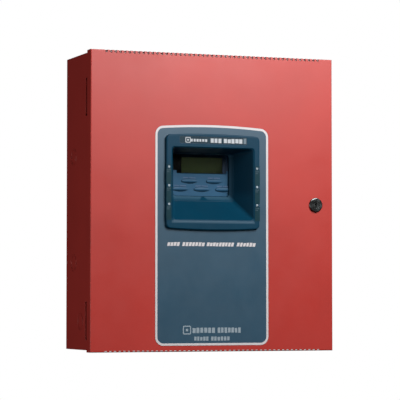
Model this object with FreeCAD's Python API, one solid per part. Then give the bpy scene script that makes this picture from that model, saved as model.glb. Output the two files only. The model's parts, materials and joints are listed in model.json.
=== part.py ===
"""Wall-mounted fire alarm control panel: a red sheet-steel backbox with a lockable pan door, a moulded
viewing hood through the door onto a character display and five keys, and the control board, transformer
and standby batteries inside.

Frame: millimetres, +Z up, origin in the middle of the back face that lies against the wall.
The room is on the -Y side, so the door's front face looks along -Y, and +X is to the right of a person
who faces the door. Each node is one STEP file in parts/, and a node may hold several identical pieces.
"""

import FreeCAD
import Part
import math
import os

V = FreeCAD.Vector
X_AXIS = V(1, 0, 0)
Y_AXIS = V(0, 1, 0)
Z_AXIS = V(0, 0, 1)

# ---------------------------------------------------------------- driving dimensions
SHEET = 1.2  # steel sheet of the backbox, door and chassis

BOX_WIDTH = 422.9
BOX_HEIGHT = 482.6
BOX_DEPTH = 133.35
BOX_LIP = 10.0  # inward return round the open front of the backbox
BOX_BEND = 2.0  # outside bend radius

DOOR_WIDTH = 427.3
DOOR_HEIGHT = 489.2
DOOR_DEPTH = 18.3  # depth of the door pan's return flanges
DOOR_FRONT = -136.1  # Y of the door's outer face
DOOR_BEND = 1.6

PANEL_X = -3.2  # the hood, overlay and display share this centre line
DISPLAY_Y = -88.0  # front of the keypad fascia
BEZEL_FRONT = -142.0

VENT_COUNT = 48
VENT_PITCH = 7.96
VENT_WIDTH = 4.2
VENT_FACE_HEIGHT = 4.6  # how far a vent slot runs down the door's face from its top edge
VENT_FACE_BOTTOM = 2.2  # and up the face from its bottom edge
VENT_FLANGE_DEPTH = 5.5  # how far it runs back along the flange

HINGE_X = -209.3
HINGE_Y = -110.8
HINGE_CENTRES_Z = (170.0, -194.0)
HINGE_SLOT = 62.0
HINGE_LEAF = 56.0
KNUCKLE_R = 2.8
HINGE_PIN_R = 1.25
HINGE_RUN = 0.05  # radial clearance of the pin in the door's knuckle
HINGE_NOTCH_Y = -104.0  # rear edge of the notch in the side wall
HINGE_LEAF_FRONT = -103.6

LOCK_X = 182.6
LOCK_Z = -1.3

KNOCKOUT_R = 14.1
KNOCKOUT_INNER_R = 11.1
KNOCKOUT_GROOVE = 0.9
KNOCKOUT_SCORE = 0.45

WALL_HOLE_X = 190.0
WALL_HOLE_Z = 212.0
WALL_HOLE_R = 3.5
KEYHOLE_X = 101.6
KEYHOLE_Z = 229.0
KEYHOLE_HEAD_R = 6.0
KEYHOLE_SLOT_R = 2.8
KEYHOLE_RISE = 7.0

CHASSIS_FRONT = -40.0
CHASSIS_HALF_WIDTH = 165.0
CHASSIS_Z = (-66.0, 226.0)
CHASSIS_FOOT = 14.0
STUD_FRONT = -9.0
STUD_R = 2.0
NUT_TALL = 3.2
NUT_FLATS = 7.0

BOARD_FRONT = -54.0
BOARD_THICK = 1.6
BOARD_HALF_WIDTH = 158.0
BOARD_Z = (-60.0, 220.0)
DISPLAY_BOARD_FRONT = -78.0
DISPLAY_BOARD_HALF = 89.0
DISPLAY_BOARD_Z = (-2.0, 99.0)
DISPLAY_SCREW_HOLE_R = 1.4

BATTERY = (151.0, 65.0, 94.0)  # X, Y, Z of a 12 V 7 Ah sealed lead-acid block

# ---------------------------------------------------------------- derived places
BOX_X = BOX_WIDTH / 2
BOX_Z = BOX_HEIGHT / 2
DOOR_X = DOOR_WIDTH / 2
DOOR_Z = DOOR_HEIGHT / 2
DOOR_INSIDE = DOOR_FRONT + SHEET
DOOR_REAR = DOOR_FRONT + DOOR_DEPTH
BOX_INNER_X = BOX_X - SHEET
BOX_FLOOR = -BOX_Z + SHEET

OVERLAY_THICK = 0.4
OVERLAY_FRONT = DOOR_FRONT - OVERLAY_THICK
OVERLAY_HALF_WIDTH = 99.7
OVERLAY_Z = (-234.6, 122.8)
OVERLAY_ARCH = 4.6
OVERLAY_CORNER = 14.0

BEZEL_HALF_WIDTH = 82.3
BEZEL_Z = (-43.0, 109.8)
BEZEL_ARCH = 2.8
BEZEL_CORNER = 8.0
HOOD_FRONT_HALF = 72.3
HOOD_FRONT_Z = (-30.5, 89.4)
HOOD_FRONT_CORNER = 4.0
HOOD_REAR_HALF = 49.7
HOOD_REAR_SHIFT = -2.4  # the hood's rear end sits a little left of the centre line
HOOD_REAR_Z = (12.2, 82.2)
HOOD_REAR_CORNER = 6.0
HOOD_CORNER = 5.0  # inside corners
HOOD_REAR = -90.5
HOOD_WALL = 2.0
MOUTH_CHAMFER = 1.6
COLLAR_DEPTH = 10.5  # raised band round the inside of the hood's rear end
COLLAR_RISE = 0.4
COLLAR_NOTCH = 3.2
COLLAR_NOTCH_DEPTH = 5.0
COLLAR_NOTCH_TOP = 30.0

DOOR_CUT_HALF = 80.6
DOOR_CUT_Z = (-34.5, 93.5)
BEZEL_POST_X = 63.0
BEZEL_POST_Z = (-39.2, 101.5)
BEZEL_POST_R = 1.6
BEZEL_POST_HOLE_R = 1.9
PUSH_NUT_R = 5.0
PUSH_NUT_THICK = 0.7

NAMEPLATE_HALF = 59.2
NAMEPLATE_Z = (96.0, 107.4)
NAMEPLATE_SINK = 1.3

INDICATOR_X = 77.6
INDICATOR_Z = (57.0, 26.5, -4.0)
PIPE_R = 2.0

LCD_Z = 64.4
LCD_FRAME = (97.0, 40.0)
LCD_VIEW = (75.6, 26.4)
LCD_TALL = 7.4
WINDOW_HALF = 44.0  # the fascia's window shows some of the display's dark frame
WINDOW_Z = (50.2, 80.6)
FASCIA_HALF = 61.5
FASCIA_Z = (5.0, 92.0)
FASCIA_WALL = 2.0

KEY_SIZE = (31.5, 8.2)
KEY_PITCH = 38.5
KEY_ROWS = {"upper": 37.4, "lower": 24.0}
KEY_PROUD = 1.5
KEY_CROWN_R = 6.6  # the face is rounded from top to bottom
UPPER_KEY_OFFSET = 21.9
KEYS = {
    "key_acknowledge": (PANEL_X - UPPER_KEY_OFFSET, KEY_ROWS["upper"]),
    "key_silence": (PANEL_X + UPPER_KEY_OFFSET, KEY_ROWS["upper"]),
    "key_drill": (PANEL_X - KEY_PITCH, KEY_ROWS["lower"]),
    "key_reset": (PANEL_X, KEY_ROWS["lower"]),
    "key_lamp_test": (PANEL_X + KEY_PITCH, KEY_ROWS["lower"]),
}

SIDE_KNOCKOUTS = [(-40.0, 76.0), (-41.0, -99.0), (-78.0, -195.0)]  # (Y, Z)
TOP_KNOCKOUTS = [(-150.0, -40.0), (-50.0, -40.0), (50.0, -40.0), (150.0, -40.0)]  # (X, Y)
CHASSIS_STUDS_Z = (-50.0, 210.0)

LOCK_BODY_R = 9.3
LOCK_REAR = -119.6
PLUG_R = 6.4
CAM_FRONT = -118.9
CAM_THICK = 2.0
TERMINAL_PITCH = 7.62
TERMINAL_DEPTH = 14.0
TERMINAL_TALL = 11.0
TERMINAL_ROWS = [
    # centre x, centre z, poles, turn about Y in degrees (0: wires enter from above)
    (-96.0, 208.0, 12, 0),
    (50.0, 208.0, 10, 0),
    (148.0, 154.5, 8, 90),
    (148.0, 66.0, 8, 90),
    (148.0, -10.0, 6, 90),
    (92.0, -52.0, 10, 180),
]
SMALL_CAPACITOR_SIZE = (5.0, 16.0)  # radius, height
SMALL_CAPACITORS = [(-28.0, -44.0), (-14.0, -44.0), (-120.0, 40.0), (-120.0, 56.0)]  # (X, Z)
HEAT_SINK = (-128.0, -18.0, 44.0, 38.0, 22.0)  # centre x, centre z, width, height, depth
CONNECTORS = {"secondary": (-104.0, -52.0), "battery": (20.0, -52.0)}
CONNECTOR_SIZE = (16.0, 9.0, 13.0)
TRANSFORMER = (-158.0, -112.0)  # centre x, z
CORE_SIZE = (66.0, 40.0, 55.0)
CORE_REAR = -8.0
MAINS_BLOCK = (-84.0, -112.0)
MAINS_PITCH = 11.0
GROUND_STUD = (-56.0, -92.0)
BATTERY_GAP = 2.0
BATTERY_REAR = -4.0
BATTERY_TOP = BOX_FLOOR + BATTERY[2]
TAB_INSET = 12.0
TAB_WIDTH = 4.8
TAB_THICK = 0.8
TAB_TALL = 6.3
TAB_Y = BATTERY_REAR - BATTERY[1] + 8.0
WIRE_R = 1.2
SLEEVE_TOP = BATTERY_TOP + 16.2
PLUG_WIRE_Y = BOARD_FRONT - 7.0
RIBBON_X = 44.0
RIBBON_WIDTH = 17.8
RIBBON_THICK = 1.0
RIBBON_BOARD_Z = -18.0


# ---------------------------------------------------------------- helpers
def block(x0, x1, y0, y1, z0, z1):
    """Axis-aligned box between two corners."""
    return Part.makeBox(x1 - x0, y1 - y0, z1 - z0, V(x0, y0, z0))


def rod_y(x, z, y0, y1, r):
    """Round bar along Y."""
    return Part.makeCylinder(r, y1 - y0, V(x, y0, z), Y_AXIS)


def rod_z(x, y, z0, z1, r):
    """Round bar along Z."""
    return Part.makeCylinder(r, z1 - z0, V(x, y, z0), Z_AXIS)


def rod_x(y, z, x0, x1, r):
    """Round bar along X."""
    return Part.makeCylinder(r, x1 - x0, V(x0, y, z), X_AXIS)


def hex_y(x, z, y0, y1, across_flats):
    """Hexagonal bar along Y."""
    corner = across_flats / math.sqrt(3)
    turns = [math.radians(60 * i) for i in range(7)]
    points = [V(x + corner * math.cos(a), y0, z + corner * math.sin(a)) for a in turns]
    return Part.Face(Part.makePolygon(points)).extrude(V(0, y1 - y0, 0))


def soften(shape, radius, chosen):
    """Rounds the edges for which chosen(edge) is true."""
    edges = [e for e in shape.Edges if chosen(e)]
    return shape.makeFillet(radius, edges)


def runs_along(axis):
    """A test for straight edges parallel to an axis."""
    def test(edge):
        if edge.Curve.TypeId != "Part::GeomLine":
            return False
        way = edge.Curve.Direction
        return abs(abs(way.dot(axis)) - 1) < 1e-6
    return test


def at_y(y):
    """A test for edges that lie wholly in one plane of constant Y."""
    def test(edge):
        return abs(edge.BoundBox.YMin - y) < 1e-4 and abs(edge.BoundBox.YMax - y) < 1e-4
    return test


def soft_block(x0, x1, y0, y1, z0, z1, radius):
    """Box with all twelve edges rounded."""
    body = block(x0, x1, y0, y1, z0, z1)
    return body.makeFillet(radius, body.Edges)


def slot_face(half_width, z0, z1, y, corner, cx=PANEL_X):
    """Rounded rectangle in a plane of constant Y, as a wire."""
    x0, x1 = cx - half_width, cx + half_width
    k = corner * (1 - math.sqrt(0.5))
    lines = [
        (V(x0 + corner, y, z0), V(x1 - corner, y, z0)),
        (V(x1, y, z0 + corner), V(x1, y, z1 - corner)),
        (V(x1 - corner, y, z1), V(x0 + corner, y, z1)),
        (V(x0, y, z1 - corner), V(x0, y, z0 + corner)),
    ]
    mids = [V(x1 - k, y, z0 + k), V(x1 - k, y, z1 - k), V(x0 + k, y, z1 - k), V(x0 + k, y, z0 + k)]
    edges = []
    for i, (a, b) in enumerate(lines):
        following = lines[(i + 1) % 4][0]
        edges.append(Part.LineSegment(a, b).toShape())
        edges.append(Part.Arc(b, mids[i], following).toShape())
    return Part.Wire(edges)


def arched_prism(half_width, z_range, arch_bottom, arch_top, y_range, corner):
    """Upright plate whose top and bottom edges may bow outward, with round corners."""
    x0, x1 = PANEL_X - half_width, PANEL_X + half_width
    z0, z1 = z_range
    y0, y1 = y_range

    def edge(a, b, bow):
        if bow == 0:
            return Part.LineSegment(a, b).toShape()
        middle = V((a.x + b.x) / 2, y0, a.z + bow)
        return Part.Arc(a, middle, b).toShape()

    outline = Part.Wire([
        edge(V(x0, y0, z0), V(x1, y0, z0), -arch_bottom),
        Part.LineSegment(V(x1, y0, z0), V(x1, y0, z1)).toShape(),
        edge(V(x1, y0, z1), V(x0, y0, z1), arch_top),
        Part.LineSegment(V(x0, y0, z1), V(x0, y0, z0)).toShape(),
    ])
    body = Part.Face(outline).extrude(V(0, y1 - y0, 0))
    return soften(body, corner, runs_along(Y_AXIS))


def tube(points, radius):
    """Round wire through the points: straight runs joined by tangent arcs as large as the runs allow."""
    corners = [V(*p) for p in points]
    edges = []
    start = corners[0]
    for before, corner, after in zip(corners, corners[1:], corners[2:]):
        come = (corner - before).normalize()
        go = (after - corner).normalize()
        turn = come.getAngle(go)
        shorter = min((corner - before).Length, (after - corner).Length)
        inset = 0.45 * shorter
        arc_radius = inset / math.tan(turn / 2)
        a = corner - come * inset
        b = corner + go * inset
        inward = (go - come).normalize()
        middle = corner + inward * (arc_radius * (1 / math.cos(turn / 2) - 1))
        edges.append(Part.LineSegment(start, a).toShape())
        edges.append(Part.Arc(a, middle, b).toShape())
        start = b
    edges.append(Part.LineSegment(start, corners[-1]).toShape())
    path = Part.Wire(edges)
    first = corners[1] - corners[0]
    profile = Part.Wire([Part.makeCircle(radius, corners[0], first)])
    body = path.makePipeShell([profile], True, False)
    true_volume = math.pi * radius**2 * path.Length
    if abs(body.Volume / true_volume - 1) > 0.01:
        raise ValueError(f"tube volume is {body.Volume:.1f}, not {true_volume:.1f}")
    return body


def save(name, *solids):
    """Writes one node from its solids."""
    shape = solids[0] if len(solids) == 1 else Part.makeCompound(list(solids))
    for solid in shape.Solids:
        if not solid.isValid():
            raise ValueError(f"{name} has an invalid solid")
    shape.exportStep(f"parts/{name}.step")


# ---------------------------------------------------------------- cabinet
def keyhole(x):
    """Cutter for a hanging hole: a round head with a narrower slot above it."""
    y0, y1 = -SHEET - 1, 1
    head = rod_y(x, KEYHOLE_Z, y0, y1, KEYHOLE_HEAD_R)
    slot = block(x - KEYHOLE_SLOT_R, x + KEYHOLE_SLOT_R, y0, y1, KEYHOLE_Z, KEYHOLE_Z + KEYHOLE_RISE)
    return head.fuse([slot, rod_y(x, KEYHOLE_Z + KEYHOLE_RISE, y0, y1, KEYHOLE_SLOT_R)])


def knockout_places():
    """(centre on the wall's outer face, outward direction) of every conduit knockout."""
    places = []
    for y, z in SIDE_KNOCKOUTS:
        places.append((V(-BOX_X, y, z), V(-1, 0, 0)))
        places.append((V(BOX_X, y, z), V(1, 0, 0)))
    for x, y in TOP_KNOCKOUTS:
        places.append((V(x, y, BOX_Z), V(0, 0, 1)))
        places.append((V(x, y, -BOX_Z), V(0, 0, -1)))
    return places


def wall_disc(centre, outward, radius, thick):
    """Disc that reaches inward from a cabinet wall's outer face."""
    return Part.makeCylinder(radius, thick, centre, outward * -1)


def knockout_groove(centre, outward, radius):
    """Cutter for one scored ring of a conduit knockout."""
    half = KNOCKOUT_GROOVE / 2
    outside = wall_disc(centre, outward, radius + half, KNOCKOUT_SCORE)
    return outside.cut(wall_disc(centre, outward, radius - half, KNOCKOUT_SCORE))


def whole_backbox():
    """Sheet steel box, open at the front, with a lip, hinge notches, scored knockouts and wall holes."""
    outer = block(-BOX_X, BOX_X, -BOX_DEPTH, 0, -BOX_Z, BOX_Z)
    outer = soften(outer, BOX_BEND, at_y(0))
    cavity = block(-BOX_INNER_X, BOX_INNER_X, -BOX_DEPTH + SHEET, -SHEET, BOX_FLOOR, -BOX_FLOOR)
    mouth = block(-BOX_X + BOX_LIP, BOX_X - BOX_LIP, -BOX_DEPTH - 1, -BOX_DEPTH + SHEET + 1,
                  -BOX_Z + BOX_LIP, BOX_Z - BOX_LIP)
    cutters = [cavity, mouth]
    for z in HINGE_CENTRES_Z:
        half = HINGE_SLOT / 2
        cutters.append(block(-BOX_X - 1, -BOX_X + BOX_LIP + 1,
                             -BOX_DEPTH - 1, HINGE_NOTCH_Y, z - half, z + half))
    for centre, outward in knockout_places():
        for radius in (KNOCKOUT_R, KNOCKOUT_INNER_R):
            cutters.append(knockout_groove(centre, outward, radius))
    for side in (-1, 1):
        cutters.append(keyhole(side * KEYHOLE_X))
        for z in (-WALL_HOLE_Z, WALL_HOLE_Z):
            cutters.append(rod_y(side * WALL_HOLE_X, z, -SHEET - 1, 1, WALL_HOLE_R))
    return outer.cut(cutters)


def end_region(end):
    """The space of the top (1) or bottom (-1) end plate and its front lip."""
    z_outer, z_inner = end * (BOX_Z + 1), end * (BOX_Z - SHEET)
    plate = block(-BOX_X - 1, BOX_X + 1, -BOX_DEPTH - 1, 1, min(z_outer, z_inner), max(z_outer, z_inner))
    z_lip = end * (BOX_Z - BOX_LIP)
    lip = block(-BOX_X + BOX_LIP, BOX_X - BOX_LIP, -BOX_DEPTH, -BOX_DEPTH + SHEET,
                min(z_lip, z_inner), max(z_lip, z_inner))
    return plate.fuse(lip)


def backbox():
    """One sheet folded into the back, both side walls and their lips."""
    return whole_backbox().cut([end_region(1), end_region(-1)])


def box_end_plates():
    """The welded top and bottom of the box."""
    return [whole_backbox().common(end_region(end)) for end in (1, -1)]


def box_hinge_leaf(z):
    """Inner leaf with two outer knuckles, welded to the inside of the left wall."""
    half = HINGE_LEAF / 2
    inner = half / 3
    leaf = block(-BOX_INNER_X, -BOX_INNER_X + 2, HINGE_LEAF_FRONT, -84, z - half, z + half)
    solids = []
    for z0, z1 in ((z - half, z - inner - 0.25), (z + inner + 0.25, z + half)):
        solids.append(rod_z(HINGE_X, HINGE_Y, z0, z1, KNUCKLE_R))
        solids.append(block(-BOX_INNER_X, -BOX_INNER_X + 2, HINGE_Y, HINGE_LEAF_FRONT + 1, z0, z1))
    body = leaf.fuse(solids).removeSplitter()
    return body.cut(rod_z(HINGE_X, HINGE_Y, z - half - 1, z + half + 1, HINGE_PIN_R))


def door_hinge_leaf(z):
    """Outer leaf, welded inside the door's left flange, with the middle knuckle."""
    half = HINGE_LEAF / 2
    inner = half / 3
    outside = -DOOR_X + SHEET
    leaf = block(outside, outside + 2, DOOR_INSIDE, DOOR_REAR, z - half, z + half)
    strap = block(outside, outside + 2, DOOR_REAR, HINGE_Y, z - inner + 0.25, z + inner - 0.25)
    barrel = rod_z(HINGE_X, HINGE_Y, z - inner + 0.25, z + inner - 0.25, KNUCKLE_R)
    body = leaf.fuse([strap, barrel]).removeSplitter()
    return body.cut(rod_z(HINGE_X, HINGE_Y, z - half, z + half, HINGE_PIN_R + HINGE_RUN))


def hinge_pin(z):
    """Pin with a small flat head."""
    half = HINGE_LEAF / 2
    shank = rod_z(HINGE_X, HINGE_Y, z - half - 1, z + half, HINGE_PIN_R)
    head = rod_z(HINGE_X, HINGE_Y, z + half, z + half + 1, HINGE_PIN_R + 0.9)
    return shank.fuse(head).removeSplitter()


def lock_strike():
    """Angle bracket on the right wall that the lock's cam turns behind."""
    plate = block(BOX_INNER_X - 1.5, BOX_INNER_X, -121.0, -98.0, LOCK_Z - 16, LOCK_Z + 16)
    tongue = block(197.0, BOX_INNER_X - 1.5, -121.0, -119.5, LOCK_Z - 16, LOCK_Z + 16)
    return plate.fuse(tongue).removeSplitter()


# ---------------------------------------------------------------- door
def vent_cutters():
    """Slots that run over the bend, along the top and the bottom edge of the door."""
    cutters = []
    first = -VENT_PITCH * (VENT_COUNT - 1) / 2
    for i in range(VENT_COUNT):
        x = first + i * VENT_PITCH
        for z0, z1 in ((DOOR_Z - VENT_FACE_HEIGHT, DOOR_Z + 1),
                       (-DOOR_Z - 1, -DOOR_Z + VENT_FACE_BOTTOM)):
            cutters.append(block(x - VENT_WIDTH / 2, x + VENT_WIDTH / 2,
                                 DOOR_FRONT - 1, DOOR_FRONT + VENT_FLANGE_DEPTH, z0, z1))
    return cutters


def bezel_post_places():
    """(x, z) of the four moulded posts that hold the bezel to the door."""
    return [(PANEL_X + side * BEZEL_POST_X, z) for side in (-1, 1) for z in BEZEL_POST_Z]


def display_cut(y0, y1):
    """Cutter for the rectangular aperture behind the bezel."""
    wire = slot_face(DOOR_CUT_HALF, *DOOR_CUT_Z, y0, 3.0)
    return Part.Face(wire).extrude(V(0, y1 - y0, 0))


def lock_hole(y0, y1):
    """Cutter for the lock's hole, with two flats that stop the housing turning."""
    round_part = rod_y(LOCK_X, LOCK_Z, y0, y1, 9.6)
    flats = block(LOCK_X - 10, LOCK_X + 10, y0, y1, LOCK_Z - 8.2, LOCK_Z + 8.2)
    return round_part.common(flats)


def door_panel():
    """Shallow steel pan that closes over the front of the backbox."""
    outer = block(-DOOR_X, DOOR_X, DOOR_FRONT, DOOR_REAR, -DOOR_Z, DOOR_Z)
    outer = soften(outer, DOOR_BEND, at_y(DOOR_FRONT))
    hollow = block(-DOOR_X + SHEET, DOOR_X - SHEET, DOOR_INSIDE, DOOR_REAR + 1,
                   -DOOR_Z + SHEET, DOOR_Z - SHEET)
    through = (DOOR_FRONT - 1, DOOR_INSIDE + 1)
    cutters = [hollow, display_cut(*through), lock_hole(*through)]
    cutters += [rod_y(x, z, *through, BEZEL_POST_HOLE_R) for x, z in bezel_post_places()]
    return outer.cut(cutters + vent_cutters())


def front_overlay():
    """Thin printed plastic label that covers the middle of the door, with an arched top."""
    body = arched_prism(OVERLAY_HALF_WIDTH, OVERLAY_Z, 0, OVERLAY_ARCH,
                        (OVERLAY_FRONT, DOOR_FRONT), OVERLAY_CORNER)
    cutters = [display_cut(OVERLAY_FRONT - 1, DOOR_FRONT + 1)]
    cutters += [rod_y(x, z, OVERLAY_FRONT - 1, DOOR_FRONT + 1, BEZEL_POST_HOLE_R)
                for x, z in bezel_post_places()]
    return body.cut(cutters)


def hood_frustum(grow, y_front, y_rear):
    """Tapering inside of the hood, or its outside when grown by the wall thickness."""
    front = slot_face(HOOD_FRONT_HALF + grow, HOOD_FRONT_Z[0] - grow, HOOD_FRONT_Z[1] + grow,
                      y_front, HOOD_FRONT_CORNER + grow)
    rear = slot_face(HOOD_REAR_HALF + grow, HOOD_REAR_Z[0] - grow, HOOD_REAR_Z[1] + grow,
                     y_rear, HOOD_REAR_CORNER + grow, PANEL_X + HOOD_REAR_SHIFT)
    return Part.makeLoft([front, rear], True, True)


def nameplate_block(grow, y0, y1):
    """Rounded slab of the nameplate's outline."""
    wire = slot_face(NAMEPLATE_HALF + grow, NAMEPLATE_Z[0] - grow, NAMEPLATE_Z[1] + grow, y0, 2.0 + grow)
    return Part.Face(wire).extrude(V(0, y1 - y0, 0))


def hood_section(y, shrink):
    """Outline of the hood's inside at one depth, on the straight taper from its front to its rear."""
    share = (y - BEZEL_FRONT) / (HOOD_REAR - BEZEL_FRONT)
    half = HOOD_FRONT_HALF + share * (HOOD_REAR_HALF - HOOD_FRONT_HALF) - shrink
    z0 = HOOD_FRONT_Z[0] + share * (HOOD_REAR_Z[0] - HOOD_FRONT_Z[0]) + shrink
    z1 = HOOD_FRONT_Z[1] + share * (HOOD_REAR_Z[1] - HOOD_FRONT_Z[1]) - shrink
    return slot_face(half, z0, z1, y, HOOD_CORNER, PANEL_X + share * HOOD_REAR_SHIFT)


def hood_collar():
    """Raised band inside the hood's rear end, with a small notch in the middle of its lower side."""
    front = HOOD_REAR - COLLAR_DEPTH
    solid = Part.makeLoft([hood_section(front, -0.5), hood_section(HOOD_REAR, -0.5)], True, True)
    sections = [hood_section(front, COLLAR_RISE), hood_section(HOOD_REAR, COLLAR_RISE)]
    opening = Part.makeLoft(sections, True, True)
    notch = block(PANEL_X - COLLAR_NOTCH / 2, PANEL_X + COLLAR_NOTCH / 2,
                  HOOD_REAR - COLLAR_NOTCH_DEPTH, HOOD_REAR + 1, 0, COLLAR_NOTCH_TOP)
    return solid.cut([opening, notch])


def display_bezel():
    """One moulding: a raised frame on the door and a hood that narrows back to the display."""
    frame = arched_prism(BEZEL_HALF_WIDTH, BEZEL_Z, BEZEL_ARCH, BEZEL_ARCH,
                         (BEZEL_FRONT, OVERLAY_FRONT), BEZEL_CORNER)
    frame = soften(frame, 2.0, at_y(BEZEL_FRONT))
    hood = hood_frustum(HOOD_WALL, BEZEL_FRONT + 1.5, HOOD_REAR)
    posts = [rod_y(x, z, OVERLAY_FRONT, -128.5, BEZEL_POST_R) for x, z in bezel_post_places()]
    body = frame.fuse([hood] + posts)
    body = body.cut(Part.makeLoft([hood_section(BEZEL_FRONT, 0), hood_section(HOOD_REAR, 0)], True, True))
    body = body.fuse(hood_collar())
    mouth = Part.makeLoft([
        slot_face(HOOD_FRONT_HALF + MOUTH_CHAMFER, HOOD_FRONT_Z[0] - MOUTH_CHAMFER,
                  HOOD_FRONT_Z[1] + MOUTH_CHAMFER, BEZEL_FRONT - 0.01, HOOD_FRONT_CORNER + MOUTH_CHAMFER),
        slot_face(HOOD_FRONT_HALF - 0.9, HOOD_FRONT_Z[0] + 1.3, HOOD_FRONT_Z[1] - 0.3,
                  BEZEL_FRONT + MOUTH_CHAMFER, HOOD_FRONT_CORNER),
    ], True, True)
    cutters = [mouth, nameplate_block(0.15, BEZEL_FRONT - 1, BEZEL_FRONT + NAMEPLATE_SINK)]
    cutters += [rod_y(x, z, BEZEL_FRONT - 1, OVERLAY_FRONT + 1, PIPE_R + 0.05)
                for x, z in indicator_places()]
    return body.cut(cutters)


def indicator_places():
    """(x, z) of the six status indicators, three on each side of the hood."""
    return [(PANEL_X + side * INDICATOR_X, z) for side in (-1, 1) for z in INDICATOR_Z]


def nameplate():
    """Inlaid plate in the bezel's top bar."""
    return nameplate_block(0, BEZEL_FRONT + 0.3, BEZEL_FRONT + NAMEPLATE_SINK)


def light_pipe(x, z):
    """Clear rod that carries a status lamp's light from the display board to the bezel."""
    rod = rod_y(x, z, BEZEL_FRONT - 0.3, DISPLAY_BOARD_FRONT - 9.2, PIPE_R)
    rod = soften(rod, 0.6, at_y(BEZEL_FRONT - 0.3))
    collar = rod_y(x, z, OVERLAY_FRONT, OVERLAY_FRONT + 1.2, PIPE_R + 0.45)
    return rod.fuse(collar)


def push_nut(x, z):
    """Spring-steel washer pushed onto a bezel post behind the door."""
    washer = rod_y(x, z, DOOR_INSIDE, DOOR_INSIDE + PUSH_NUT_THICK, PUSH_NUT_R)
    return washer.cut(rod_y(x, z, DOOR_INSIDE - 1, DOOR_INSIDE + 2, BEZEL_POST_R))


# ---------------------------------------------------------------- lock


def lock_housing():
    """Threaded barrel with two flats and a round face flange."""
    flange = rod_y(LOCK_X, LOCK_Z, DOOR_FRONT - 3.2, DOOR_FRONT, 12.0)
    flange = soften(flange, 1.6, at_y(DOOR_FRONT - 3.2))
    barrel = rod_y(LOCK_X, LOCK_Z, DOOR_FRONT, LOCK_REAR, LOCK_BODY_R)
    flats = block(LOCK_X - 10, LOCK_X + 10, DOOR_FRONT, LOCK_REAR, LOCK_Z - 8.0, LOCK_Z + 8.0)
    body = flange.fuse(barrel.common(flats))
    return body.cut(rod_y(LOCK_X, LOCK_Z, DOOR_FRONT - 4, LOCK_REAR + 1, PLUG_R + 0.05))


def lock_nut():
    """Hexagon nut that clamps the lock to the door."""
    body = hex_y(LOCK_X, LOCK_Z, DOOR_INSIDE, DOOR_INSIDE + 3.5, 24.0)
    return body.cut(rod_y(LOCK_X, LOCK_Z, DOOR_INSIDE - 1, DOOR_INSIDE + 5, LOCK_BODY_R + 0.05))


def lock_plug():
    """Turning plug with a keyway, and a square at the back for the cam."""
    front = DOOR_FRONT - 2.6
    plug = rod_y(LOCK_X, LOCK_Z, front, LOCK_REAR + 0.4, PLUG_R)
    square = block(LOCK_X - 4, LOCK_X + 4, LOCK_REAR + 0.4, CAM_FRONT + CAM_THICK, LOCK_Z - 4, LOCK_Z + 4)
    keyway = block(LOCK_X - 1.1, LOCK_X + 1.1, front - 1, front + 12, LOCK_Z - 3.9, LOCK_Z + 3.9)
    ward = block(LOCK_X - 2.0, LOCK_X + 1.1, front - 1, front + 12, LOCK_Z - 0.6, LOCK_Z + 0.9)
    hole = rod_y(LOCK_X, LOCK_Z, CAM_FRONT - 4, CAM_FRONT + 4, 1.9)
    return plug.fuse(square).cut([keyway, ward, hole])


def lock_cam():
    """Flat tongue on the plug's square, hanging down when the lock is open."""
    y0, y1 = CAM_FRONT, CAM_FRONT + CAM_THICK
    hub = rod_y(LOCK_X, LOCK_Z, y0, y1, 8.0)
    tongue = block(LOCK_X - 8, LOCK_X + 8, y0, y1, LOCK_Z - 24, LOCK_Z)
    tongue = soften(tongue, 3.0, lambda e: runs_along(Y_AXIS)(e) and e.BoundBox.ZMax < LOCK_Z - 20)
    square = block(LOCK_X - 4, LOCK_X + 4, y0 - 1, y1 + 1, LOCK_Z - 4, LOCK_Z + 4)
    return hub.fuse(tongue).removeSplitter().cut(square)


def lock_cam_screw():
    """Screw that holds the cam on the plug."""
    y = CAM_FRONT + CAM_THICK
    head = hex_y(LOCK_X, LOCK_Z, y, y + 3.0, 10.0)
    shank = rod_y(LOCK_X, LOCK_Z, CAM_FRONT - 3.5, y, 1.85)
    return head.fuse(shank)


# ---------------------------------------------------------------- chassis and boards
def chassis_plate():
    """Raised plate on two side flanges with feet, which carries the control board."""
    z0, z1 = CHASSIS_Z
    w = CHASSIS_HALF_WIDTH
    body = block(-w, w, CHASSIS_FRONT, CHASSIS_FRONT + SHEET, z0, z1)
    pieces = []
    cutters = []
    for side in (-1, 1):
        x0, x1 = sorted((side * w, side * (w - SHEET)))
        pieces.append(block(x0, x1, CHASSIS_FRONT, -SHEET, z0, z1))
        x0, x1 = sorted((side * w, side * (w + CHASSIS_FOOT)))
        pieces.append(block(x0, x1, -2 * SHEET, -SHEET, z0, z1))
        for z in CHASSIS_STUDS_Z:
            cutters.append(rod_y(side * (w + CHASSIS_FOOT / 2), z, -5, 0, 2.2))
    for x, z in standoff_places():
        cutters.append(rod_y(x, z, CHASSIS_FRONT - 1, CHASSIS_FRONT + SHEET + 1, 1.6))
    return body.fuse(pieces).removeSplitter().cut(cutters)


def chassis_studs_and_nuts():
    """Studs on the backbox's rear wall that hold the chassis, each with a nut."""
    pieces = []
    for side in (-1, 1):
        for z in CHASSIS_STUDS_Z:
            x = side * (CHASSIS_HALF_WIDTH + CHASSIS_FOOT / 2)
            stud = rod_y(x, z, STUD_FRONT, -SHEET, STUD_R)
            nut = hex_y(x, z, -2 * SHEET - NUT_TALL, -2 * SHEET, NUT_FLATS)
            pieces += [stud, nut.cut(stud)]
    return pieces


def standoff_places():
    """(x, z) of the nine board standoffs."""
    return [(x, z) for x in (-150.0, 0.0, 150.0) for z in (-52.0, 118.0, 212.0)]


def display_post_places():
    """(x, z) of the four posts under the display board."""
    return [(PANEL_X + side * 83.0, z) for side in (-1, 1) for z in (4.0, 93.0)]


def board_rear():
    return BOARD_FRONT + BOARD_THICK


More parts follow.
